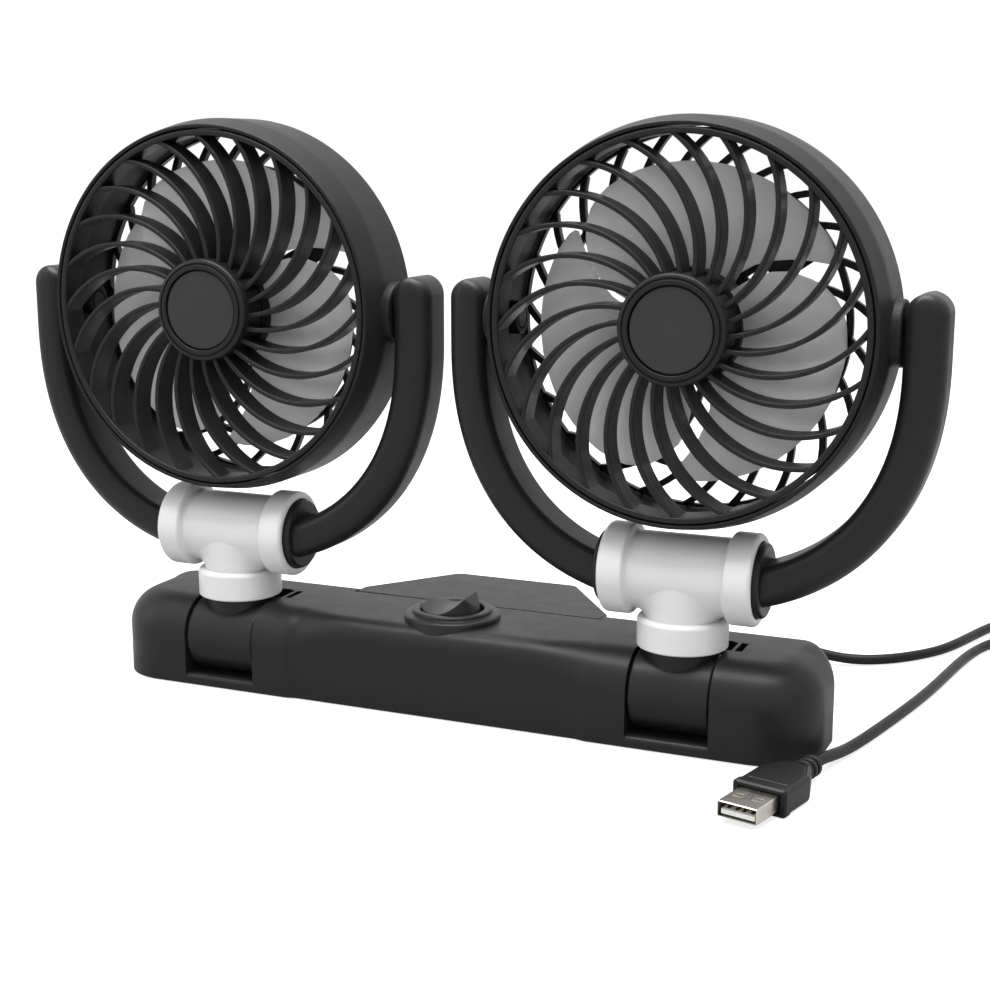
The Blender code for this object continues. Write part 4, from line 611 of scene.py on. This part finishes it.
FOAM = moulded("pad foam", (0.045, 0.045, 0.045), 0.85, spread=0.2, sheen_spread=0.1,
               grains=1500.0, depth=0.25)
PAD_HALF, PAD_FRONT, PAD_BACK, PAD_FRONT_CORNER, PAD_BACK_CORNER = 115.5, -10.3, 19.0, 14.0, 7.0


def pad_row(inset, height):
    """The pad's plan at a height, its sides and corners set in by an inset."""
    half, front, back = PAD_HALF - inset, PAD_FRONT + inset, PAD_BACK - inset
    front_corner, back_corner = PAD_FRONT_CORNER - inset, PAD_BACK_CORNER - inset
    return level(rounded_outline([(-half, front, front_corner), (half, front, front_corner),
                                  (half, back, back_corner), (-half, back, back_corner)], 8), height)


pad_rows = [pad_row(*step) for step in ((0.25, 0.0), (0.0, 0.25), (0.0, 0.8), (0.2, 1.0))]
pad = make_piece("foam_pad", [(np.array(pad_rows), "tube")], FOAM, "base", "adhesive_pad")

# Switch: a two-step bezel pressed into the base, and a round rocker with a hollowed top whose right
# end stands up at rest. Both are moulded in black, and the rocker turns on a pin across the bezel.

SWITCH_BLACK = moulded("switch plastic", (0.012, 0.012, 0.0125), 0.36, gloss=0.22)
bezel_outline = rounded_outline([
    (10.2, 19.0, 0.2), (11.2, 19.0, 0.2), (11.2, 26.4, 0.1), (15.4, 26.4, 0.1), (15.4, 30.7, 0.9),
    (13.2, 30.8, 0.2), (12.8, 31.0, 0.2), (12.8, 32.2, 0.7), (10.2, 32.2, 0.5)])
make_piece("switch_bezel_turned", [(turned(bezel_outline, (0, PIT_Y, 0), "Z", 128), "ring")],
           SWITCH_BLACK, "base", "switch_bezel")

ROCKER_R, ROCKER_CREST, ROCKER_PEAK, ROCKER_PIN_Z = 9.4, 8.0, 6.9, 28.5
HOLLOW_SHARE, END_SLOPE, CROWN, ROCKER_EDGE = 0.58, 2.6, 0.35, 0.4
SKIRT_DEEP, SKIRT_TAPER, ROCKER_TILT = 2.4, 0.8, math.radians(12.0)


def rocker_grid():
    """A disc of rows round its middle. Its height is a share of the peak that grows with x squared
    up to the crests, falls off beyond them, and drops a little with y squared and as a fillet at
    the rim. A skirt goes down from there, and the whole is tilted about the pin."""
    share = np.concatenate([np.linspace(0, 0.9, 16), [0.94, 0.97, 0.99, 1.0]])[:, None]
    angle = np.linspace(0, 2 * math.pi, 72, endpoint=False)
    x, y = ROCKER_R * share * np.cos(angle), ROCKER_R * share * np.sin(angle)
    hollow = HOLLOW_SHARE + (1 - HOLLOW_SHARE) * (x / ROCKER_CREST) ** 2
    ends = ROCKER_PEAK - END_SLOPE * np.maximum(np.abs(x) - ROCKER_CREST, 0)
    z = np.minimum(ROCKER_PEAK * hollow, ends) - CROWN * (y / ROCKER_R) ** 2
    z = z - fillet(ROCKER_R * (1 - share), ROCKER_EDGE)
    top = np.stack([x, y, z], axis=-1)
    rim = top[-1] * (1, 1, 0)
    foot = rim - (0, 0, SKIRT_DEEP)
    skirt = [rim, foot, foot * (SKIRT_TAPER, SKIRT_TAPER, 1)]
    x, y, z = np.moveaxis(np.concatenate([top, skirt]), -1, 0)
    across, up = spun(x, z, ROCKER_TILT)
    return np.stack([across, y, up], axis=-1) + (0, PIT_Y, ROCKER_PIN_Z)


make_piece("rocker_cap", [(rocker_grid(), "tube")], SWITCH_BLACK, "rocker", "rocker",
           crease=50.0)

# Knuckles: a dark ABS barrel that turns on a pin in each slot of the base, with a round neck on
# which the tee swivels.

PIN_Y, PIN_Z, BARREL_R, BARREL_HALF, NECK_LOW, NECK_TOP = -2.5, 15.8, 12.4, 12.4, 15.0, 39.0
pin_barrel = rounded_outline([(0, -BARREL_HALF, 0), (BARREL_R, -BARREL_HALF, 0.8),
                              (BARREL_R, BARREL_HALF, 0.8), (0, BARREL_HALF, 0)])
neck = rounded_outline([(0, NECK_LOW, 0), (11.3, NECK_LOW, 0), (11.3, 29.45, 0.4),
                        (8.4, 29.45, 0.2), (8.4, NECK_TOP, 0.6), (0, NECK_TOP, 0)])
for head, x in HEADS:
    make_piece(f"knuckle_{head}_barrel",
               [(turned(pin_barrel, (x, PIN_Y, PIN_Z), "X", 128), "tube"),
                (turned(neck, (x, 0, 0), "Z"), "tube")],
               DARK, f"knuckle_{head}", f"knuckle_{head}")

# Tees: pale grey satin ABS, a sleeve with a thick collar at each end and a stem that flares into it
# from a third collar. The yoke's arms plug into the sleeve, and the stem swivels on the knuckle.

PALE = moulded("pale plastic", (0.52, 0.52, 0.525), 0.36, spread=0.04, sheen_spread=0.08,
               grains=1800.0, depth=0.02)
ROLL_Z, SLEEVE_R, STEM_R, COLLAR_R, SLEEVE_HALF, SLEEVE_BORE = 52.0, 11.8, 11.6, 13.9, 23.4, 11.45
STEM_LOW, COLLAR_TOP, STEM_START = 29.8, 39.0, 39.2
FLARE, FLARE_LOW, MEET_HALF, FLARE_HALF, FLARE_SUNK = 6.0, 6.0, 12.6, 15.2, 0.03


def stem_grid(x, steps=120, rows=9):
    """From the foot's pole up the collar and the stem, then a flare to the sleeve: for each angle
    the curve A(1-t)^2 + 2Ct(1-t) + Bt^2, where C is where stem and sleeve meet, A is below it on
    the stem and B is beyond it on the sleeve. It ends in a pole inside the sleeve."""
    angle = np.linspace(0, 2 * math.pi, steps, endpoint=False)
    cos, sin = np.cos(angle), np.sin(angle)
    foot = rounded_outline([(0, STEM_LOW, 0), (COLLAR_R - 0.1, STEM_LOW, 0.6),
                            (COLLAR_R - 0.1, COLLAR_TOP, 1.4), (STEM_R, COLLAR_TOP + 0.05, 0.1)])
    low = turned(foot, (0, 0, 0), "Z", steps)
    meet = ROLL_Z - np.sqrt(SLEEVE_R ** 2 - (STEM_R * sin) ** 2)
    start = np.maximum(meet - FLARE_LOW, STEM_START)
    bend = np.arcsin(STEM_R * sin / SLEEVE_R) + FLARE * sin / SLEEVE_R
    sunk = SLEEVE_R - FLARE_SUNK
    a = np.column_stack([STEM_R * cos, STEM_R * sin, start])
    c = np.column_stack([MEET_HALF * cos, STEM_R * sin, meet])
    b = np.column_stack([FLARE_HALF * cos, sunk * np.sin(bend), ROLL_Z - sunk * np.cos(bend)])
    t = np.linspace(0, 1, rows)[:, None, None]
    flare = a * (1 - t) ** 2 + 2 * c * t * (1 - t) + b * t ** 2
    pole = np.broadcast_to((0, 0, ROLL_Z), b.shape)
    return np.concatenate([low, flare, [(b + pole) / 2, pole]]) + (x, 0, 0)


sleeve = rounded_outline([
    (SLEEVE_BORE, -SLEEVE_HALF, 0.4), (COLLAR_R, -SLEEVE_HALF, 1.4), (COLLAR_R, -15.6, 1.0),
    (SLEEVE_R, -14.5, 0.8), (SLEEVE_R, 14.5, 0.8), (COLLAR_R, 15.6, 1.0),
    (COLLAR_R, SLEEVE_HALF, 1.4), (SLEEVE_BORE, SLEEVE_HALF, 0.4)])
for head, x in HEADS:
    make_piece(f"tee_{head}_moulding",
               [(turned(sleeve, (x, 0, ROLL_Z), "X", 120), "ring"), (stem_grid(x), "tube")],
               PALE, f"tee_{head}", f"tee_{head}", crease=42.0)

# Yoke arms: each a dark ABS moulding, a flange and barrel in the tee and a flat arm with a soft
# outer edge that curves up beside the drum to the tilt pivot.

ARM_MID, ARM_LOW, ARM_Z, ARM_TOP, BOW_POWER = 68.0, 70.0, 118.0, 131.5, 0.87
ARM_HALF, ARM_DEEP, ARM_OUT_ROUND, ARM_IN_ROUND, DOME_HIGH = 6.0, 9.0, 5.6, 4.0, 6.0
BOW_START, BOW_ROWS, DOME_ROWS = -76.0, 60, 13


def arm_grid(x, side):
    """A rounded section carried along a bow and up a straight, then closed by a dome. The bow is a
    quarter oval whose cosine and sine are raised to a power under 1, which fills its corner. Over
    the dome the section rises as a sine, its width shrinks as a cosine and its depth by less."""
    angle = np.radians(np.linspace(BOW_START, 0.0, BOW_ROWS))
    cos, sin = np.cos(angle) ** BOW_POWER, np.abs(np.sin(angle)) ** BOW_POWER
    bow = np.column_stack([ARM_MID * cos, ARM_Z - ARM_LOW * sin])
    ahead = np.gradient(bow, axis=0)
    ahead[-1] = 0.0, 1.0
    ahead /= np.linalg.norm(ahead, axis=1, keepdims=True)
    dome = np.radians(np.concatenate([[0.0], np.linspace(4.0, 88.0, DOME_ROWS - 1)]))
    top = np.column_stack([np.full(DOME_ROWS, ARM_MID), ARM_TOP + DOME_HIGH * np.sin(dome)])
    place = np.vstack([bow, top])
    outward = np.vstack([np.column_stack([ahead[:, 1], -ahead[:, 0]]),
                         np.tile((1.0, 0.0), (DOME_ROWS, 1))])
    full = np.ones(BOW_ROWS)
    shrink = np.concatenate([full, np.cos(dome)])[:, None]
    narrow = np.concatenate([full, 1 - 0.36 * (1 - np.cos(dome)) ** 1.5])[:, None]
    edge = rounded_outline([
        (ARM_HALF, -ARM_DEEP, ARM_OUT_ROUND), (ARM_HALF, ARM_DEEP, ARM_OUT_ROUND),
        (-ARM_HALF, ARM_DEEP, ARM_IN_ROUND), (-ARM_HALF, -ARM_DEEP, ARM_IN_ROUND)], 7)
    out, deep = edge[:, 0] * shrink, edge[:, 1] * narrow
    across = place[:, :1] + outward[:, :1] * out
    up = place[:, 1:] + outward[:, 1:] * out
    return np.stack([x + side * across, deep, up], axis=-1)


flange = rounded_outline([(0, 18.9, 0), (11.2, 18.9, 0.3), (11.2, 25.4, 1.0), (0, 25.4, 0)])
barrel = rounded_outline([(0, 0.4, 0), (9.2, 0.4, 0.4), (9.2, 19.5, 0), (0, 19.5, 0)])
for head, x in HEADS:
    for place, way in (("outer", 1), ("inner", -1)):
        side = way * math.copysign(1, x)
        lathed = [turned(outline * (1, side), (x, 0, ROLL_Z), "X") for outline in (flange, barrel)]
        make_piece(f"yoke_arm_{head}_{place}_moulding",
                   [(grid, "tube") for grid in (arm_grid(x, side), *lathed)],
                   DARK, f"yoke_{head}", f"yoke_arm_{head}_{place}", crease=40.0)

# Drums: the deep ring wall of each head, in dark satin ABS, with a round pad at either side for the
# tilt pivot and a block inside that takes the pivot screw.

HEAD_Z, DRUM_R, DRUM_BORE, DRUM_FRONT, DRUM_BACK = 126.0, 59.4, 56.3, -15.9, 12.8
PAD_R, PAD_OUT, BLOCK_R, BLOCK_BORE, BLOCK_IN = 9.5, 61.6, 5.0, 3.3, 52.3
DRUM_DARK = moulded("drum plastic", (0.012, 0.012, 0.0125), 0.42, gloss=0.10)
wall = rounded_outline([
    (DRUM_BORE, DRUM_FRONT, 0.3), (57.4, DRUM_FRONT, 0.5), (DRUM_R, -6.5, 14.0),
    (DRUM_R, DRUM_BACK, 2.5), (DRUM_BORE, DRUM_BACK, 0.4)], 8)
pivot_pad = rounded_outline([(0, 57.0, 0), (PAD_R, 57.0, 0), (PAD_R, PAD_OUT, 0.8), (0, PAD_OUT, 0)])
block = rounded_outline([(BLOCK_BORE, BLOCK_IN, 0.2), (BLOCK_R, BLOCK_IN, 0.6),
                         (BLOCK_R, 57.2, 0), (BLOCK_BORE, 57.2, 0)])
for head, x in HEADS:
    parts = [(turned(wall, (x, 0, HEAD_Z), "Y", 192), "ring")]
    for side in (-1, 1):
        parts.append((turned(pivot_pad * (1, side), (x, 0, HEAD_Z), "X", 64), "tube"))
        parts.append((turned(block * (1, side), (x, 0, HEAD_Z), "X", 40), "ring"))
    make_piece(f"drum_{head}", parts, DRUM_DARK, f"head_{head}", f"shroud_{head}")

# Front grilles: each one black moulding that snaps into its drum, with a deep ring, 24 thin fins
# that curve round from the hub, and a proud round hub with two grooves round its disc. The disc's
# grey is painted light: the grille's black made lighter to stand in for front light on the hub.

BAR_ROOT_R, BAR_ARC_R, BAR_LEAN, BAR_PHASE = 15.6, 33.7, math.radians(10.0), math.radians(10.0)
FINS, SECTION_DEEP, FIN_WIDE, FIN_BACK, FIN_FRONT, FIN_CROWN = 24, 10.0, 1.5, -7.7, -15.3, 0.9
HUB_R, HUB_BACK, DISC_R = 16.1, -8.2, 12.35
GRILLE_BLACK = moulded("grille plastic", (0.009, 0.009, 0.0095), 0.38, grains=2600.0, gloss=0.2)
# The disc's grey is painted light: the grille's black made lighter to stand in for front light on the
# hub.
DISC_PAINTED_LIGHT = moulded("hub disc painted light", (0.023, 0.023, 0.024), 0.42, grains=2600.0, gloss=0.22)


def bar_line(radii):
    """Where the bar's arc crosses each radius: the arc's middle lies an arc radius to the side of
    the root, and the crossing's angle there follows from the three sides of a triangle."""
    middle = np.array((BAR_ROOT_R - BAR_ARC_R * math.sin(BAR_LEAN), BAR_ARC_R * math.cos(BAR_LEAN)))
    reach = np.hypot(*middle)
    inner = np.arccos((reach ** 2 + BAR_ARC_R ** 2 - radii ** 2) / (2 * reach * BAR_ARC_R))
    angle = math.atan2(-middle[1], -middle[0]) + inner
    return middle + BAR_ARC_R * np.column_stack([np.cos(angle), np.sin(angle)])


def fins(x, radii, width, front, back, round_front, mirror=1):
    """Bars: an upright rounded section carried along the bar's arc, then turned by an even share of
    the circle each. front gives the y of the front edge at each radius."""
    line = bar_line(radii)
    ahead = np.gradient(line, axis=0)
    ahead /= np.linalg.norm(ahead, axis=1, keepdims=True)
    side = np.column_stack([-ahead[:, 1], ahead[:, 0]])
    half = width / 2
    cut = rounded_outline([(half, 0, round_front), (half, SECTION_DEEP, 0.15),
                           (-half, SECTION_DEEP, 0.15), (-half, 0, round_front)], 3)
    at_back = cut[:, 1] > SECTION_DEEP / 2
    depth = np.where(at_back, back - SECTION_DEEP + cut[:, 1], front[:, None] + cut[:, 1])
    plan = line[:, None] + side[:, None] * cut[None, :, :1]
    turn = BAR_PHASE + np.arange(FINS) * (2 * math.pi / FINS)
    across, up = spun(plan[..., 0], plan[..., 1], turn[:, None, None])
    depth = np.broadcast_to(depth, across.shape)
    return np.stack([x + mirror * across, depth, HEAD_Z + up], axis=-1)


ring = rounded_outline([(53.9, DRUM_FRONT, 0.7), (55.9, DRUM_FRONT, 0.7), (55.9, -6.9, 0.3),
                        (53.9, -6.9, 0.3)])
hub = rounded_outline([
    (0, -17.1, 0), (12.75, -17.1, 0.2), (12.75, -19.1, 0.3), (14.1, -19.1, 0.2),
    (14.3, -18.4, 0.05), (14.55, -18.4, 0.05), (14.75, -18.9, 0.2), (HUB_R, -18.6, 1.2),
    (HUB_R, HUB_BACK, 0.3), (13.6, HUB_BACK, 0.2), (13.6, -12.9, 0.2), (0, -12.9, 0)])
disc = rounded_outline([(0, -18.75, 0), (DISC_R, -18.6, 0.5), (DISC_R, -17.3, 0), (0, -17.3, 0)])
radii = np.linspace(15.7, 54.6, 22)
front = FIN_FRONT - FIN_CROWN * (1 - ((radii - 16.0) / 39.0) ** 2)
for head, x in HEADS:
    bars = fins(x, radii, FIN_WIDE, front, FIN_BACK, 0.5)
    make_piece(f"grille_{head}_front",
               [(turned(ring, (x, 0, HEAD_Z), "Y", 192), "ring"),
                (turned(hub, (x, 0, HEAD_Z), "Y"), "tube"), *((bar, "tube") for bar in bars)],
               GRILLE_BLACK, f"head_{head}", f"front_grille_{head}", crease=40.0)
    make_piece(f"hub_{head}_disc", [(turned(disc, (x, 0, HEAD_Z), "Y"), "tube")], DISC_PAINTED_LIGHT,
               f"head_{head}", f"hub_disc_{head}")

# Rear grilles: flat black mouldings snapped into the back of the drums, with a rim, a ring, bars
# that curve the other way and a round plate with the motor's seat.

REAR_FRONT, REAR_BAR_WIDE = 10.2, 2.0
rim = rounded_outline([(55.0, REAR_FRONT, 0.2), (56.0, REAR_FRONT, 0.2), (56.0, DRUM_BACK, 0.4),
                       (55.0, DRUM_BACK, 0.4)])
ring = rounded_outline([(43.0, REAR_FRONT, 0.3), (45.0, REAR_FRONT, 0.3), (45.0, DRUM_BACK, 0.5),
                        (43.0, DRUM_BACK, 0.5)])
plate = rounded_outline([
    (0, 11.4, 0), (12.5, 11.4, 0.2), (12.5, 5.2, 0.3), (14.1, 5.2, 0.4), (14.1, REAR_FRONT, 0.5),
    (19.0, REAR_FRONT, 0.3), (19.0, DRUM_BACK, 0.6), (16.6, DRUM_BACK, 0.3), (16.2, 12.3, 0.3),
    (0, 12.3, 0)])
radii = np.linspace(18.4, 55.5, 20)
front = np.full(len(radii), REAR_FRONT)
for head, x in HEADS:
    bars = fins(x, radii, REAR_BAR_WIDE, front, DRUM_BACK, 0.3, mirror=-1)
    make_piece(f"grille_{head}_rear",
               [(turned(rim, (x, 0, HEAD_Z), "Y", 160), "ring"),
                (turned(ring, (x, 0, HEAD_Z), "Y", 128), "ring"),
                (turned(plate, (x, 0, HEAD_Z), "Y"), "tube"), *((bar, "tube") for bar in bars)],
               GRILLE_BLACK, f"head_{head}", f"rear_grille_{head}", crease=40.0)

# Impellers: a black cup pressed on the motor's shaft, and three wide petal blades in smoke-grey
# translucent plastic that climb as they turn.

SMOKE = moulded("smoke blades", (0.85, 0.85, 0.86), 0.30, spread=0.02, sheen_spread=0.03,
                grains=1200.0, depth=0.004, alpha=0.89, gloss=0.3)
ROTOR_BLACK = moulded("rotor plastic", (0.008, 0.008, 0.0085), 0.42, gloss=0.22)
BLADE_HALF, BLADE_RISE, BLADE_MID, BLADE_THICK = math.radians(62.0), -4.2, -1.1, 0.8
ROOT_R, TIP_R, BLADE_ANGLES = 16.1, 46.5, (86.0, 206.0, 326.0)
BLADE_SHARES = (
    (0.0, 1.16, 0.58), (0.15, 1.15, 0.63), (0.3, 1.13, 0.68), (0.45, 1.08, 0.76),
    (0.6, 1.01, 0.84), (0.75, 0.90, 0.92), (0.85, 0.82, 0.97), (0.92, 0.74, 1.0),
    (0.96, 0.67, 0.99), (0.985, 0.59, 0.95), (1.0, 0.48, 0.87))


def blade_grid(x, middle):
    """A petal: at each share of the way out, a flat loop across its angle, whose thickness falls
    to nothing at both edges as the root of 1 - u^6, and whose place rises with the angle. A row of
    the shares gives the way out and how far the leading and the trailing edge reach there."""
    across = np.sin(np.linspace(-math.pi / 2, math.pi / 2, 25))
    shares, lead, trail = np.array(BLADE_SHARES).T
    thin = 1 - 0.5 * ease(0.9, 1.0, shares)
    thick = BLADE_THICK * np.sqrt(1 - across ** 6) * thin[:, None]
    turn = across[None] * np.where(across > 0, lead[:, None], trail[:, None])
    turn = np.column_stack([turn, turn[:, -2:0:-1]])
    lift = np.column_stack([thick, -thick[:, -2:0:-1]])
    radius = (ROOT_R + shares * (TIP_R - ROOT_R))[:, None]
    angle = math.radians(middle) + turn * BLADE_HALF
    return np.stack([x + radius * np.cos(angle), BLADE_MID + BLADE_RISE * turn - lift,
                     HEAD_Z + radius * np.sin(angle)], axis=-1)


rotor = rounded_outline([
    (0, -7.2, 0), (17.0, -7.2, 1.5), (17.0, 5.0, 0.5), (15.2, 5.0, 0.4), (15.2, -5.4, 0.4),
    (3.4, -5.4, 0.3), (3.4, -2.8, 0.2), (0, -2.8, 0)])
for head, x in HEADS:
    make_piece(f"rotor_{head}", [(turned(rotor, (x, 0, HEAD_Z), "Y"), "tube")], ROTOR_BLACK,
               f"impeller_{head}", f"impeller_{head}")
    make_piece(f"blades_{head}", [(blade_grid(x, middle), "tube") for middle in BLADE_ANGLES],
               SMOKE, f"impeller_{head}", f"impeller_{head}", crease=60.0)

# Small parts that keep their plain turned or cut shapes: motors, shafts, screws, pins, clips, the
# bottom plate and the circuit board. A later start of a name overrules an earlier one.

CAN_STEEL = moulded("zinc can", (0.46, 0.46, 0.45), 0.36, spread=0.08, sheen_spread=0.12,
                    grains=1200.0, depth=0.01, metal=1.0)
SCREW_STEEL = moulded("screw steel", (0.52, 0.51, 0.49), 0.30, spread=0.08, sheen_spread=0.12,
                      grains=1600.0, depth=0.008, metal=1.0)
BOARD_GREEN = moulded("board green", (0.02, 0.12, 0.05), 0.40, spread=0.15, sheen_spread=0.1,
                      grains=900.0, depth=0.02)
BLACK_ZINC = moulded("black zinc", (0.03, 0.03, 0.032), 0.42, spread=0.08, sheen_spread=0.1,
                     grains=1600.0, depth=0.008, metal=1.0)
KEPT = {"motor_": CAN_STEEL, "motor_shaft_": SCREW_STEEL, "pivot_screw_": BLACK_ZINC,
        "yoke_tie_": SCREW_STEEL, "swivel_screw_": SCREW_STEEL, "hinge_pin_": SCREW_STEEL,
        "base_screw_": SCREW_STEEL, "lead_clip_": GRILLE_BLACK, "bottom_plate": DARK,
        "switch_body": SWITCH_BLACK, "circuit_board": BOARD_GREEN}
for start, material in KEPT.items():
    for name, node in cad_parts.items():
        if name.startswith(start):
            for material_slot in node.material_slots:
                material_slot.material = material

# Floor and light: a flat floor that the camera sees as white, a plain white sky, and soft boxes
# above, to the right and to the left. Places are in metres and powers in watts.

FLOOR_HALF, FLOOR_GREY, FLOOR_SEEN, SKY_LIGHT, SKY_SEEN = 6.0, 0.32, 0.74, 1.15, 1.0
LIT_POINT = Vector((0, 0, 0.08))


def whitened(tree, plain, seen, gloss, target):
    """A strength of one value to the camera and through glass, one in gloss, one for light."""
    path = tree.nodes.new("ShaderNodeLightPath")
    larger = tree.nodes.new("ShaderNodeMath")
    larger.operation = "MAXIMUM"
    tree.links.new(path.outputs["Is Camera Ray"], larger.inputs[0])
    tree.links.new(path.outputs["Is Transmission Ray"], larger.inputs[1])
    strength = plain
    for ray, value in ((path.outputs["Is Glossy Ray"], gloss), (larger.outputs[0], seen)):
        chosen = tree.nodes.new("ShaderNodeMix")
        tree.links.new(ray, chosen.inputs["Factor"])
        feed(tree, strength, chosen.inputs["A"])
        chosen.inputs["B"].default_value = value
        strength = chosen.outputs["Result"]
    tree.links.new(strength, target)


floor_white = bpy.data.materials.new("floor white")
floor_white.use_nodes = True
floor_shader = floor_white.node_tree.nodes["Principled BSDF"]
floor_shader.inputs["Base Color"].default_value = (FLOOR_GREY, FLOOR_GREY, FLOOR_GREY, 1)
floor_shader.inputs["Roughness"].default_value = 0.9
floor_shader.inputs["Specular IOR Level"].default_value = 0.0
floor_shader.inputs["Emission Color"].default_value = (1, 1, 1, 1)
whitened(floor_white.node_tree, 0.0, FLOOR_SEEN, 0.0, floor_shader.inputs["Emission Strength"])
floor_mesh = bpy.data.meshes.new("floor")
floor_corners = [(x * FLOOR_HALF, y * FLOOR_HALF, 0) for x, y in ((-1, -1), (1, -1), (1, 1), (-1, 1))]
floor_mesh.from_pydata(floor_corners, [], [(0, 1, 2, 3)])
floor_mesh.materials.append(floor_white)
floor = bpy.data.objects.new("floor", floor_mesh)
bpy.context.scene.collection.objects.link(floor)

world = bpy.data.worlds.new("studio")
bpy.context.scene.world = world
world.use_nodes = True
sky = world.node_tree.nodes["Background"]
sky.inputs["Color"].default_value = (1, 1, 1, 1)
whitened(world.node_tree, SKY_LIGHT, SKY_SEEN, SKY_SEEN, sky.inputs["Strength"])


def softbox(name, place, size, power):
    """An oblong lamp that looks from a place at the middle of the fan."""
    data = bpy.data.lights.new(name, "AREA")
    data.shape = "RECTANGLE"
    data.size, data.size_y = size
    data.energy = power
    lamp = bpy.data.objects.new(name, data)
    lamp.location = place
    lamp.rotation_euler = (Vector(place) - LIT_POINT).to_track_quat("Z", "Y").to_euler()
    bpy.context.scene.collection.objects.link(lamp)


softbox("top", (0.0, 0.0, 0.9), (0.9, 0.7), 26)
softbox("right", (0.9, -0.6, 0.5), (0.6, 0.8), 0.3)
softbox("left", (-0.9, -0.5, 0.5), (0.6, 0.8), 2.5)
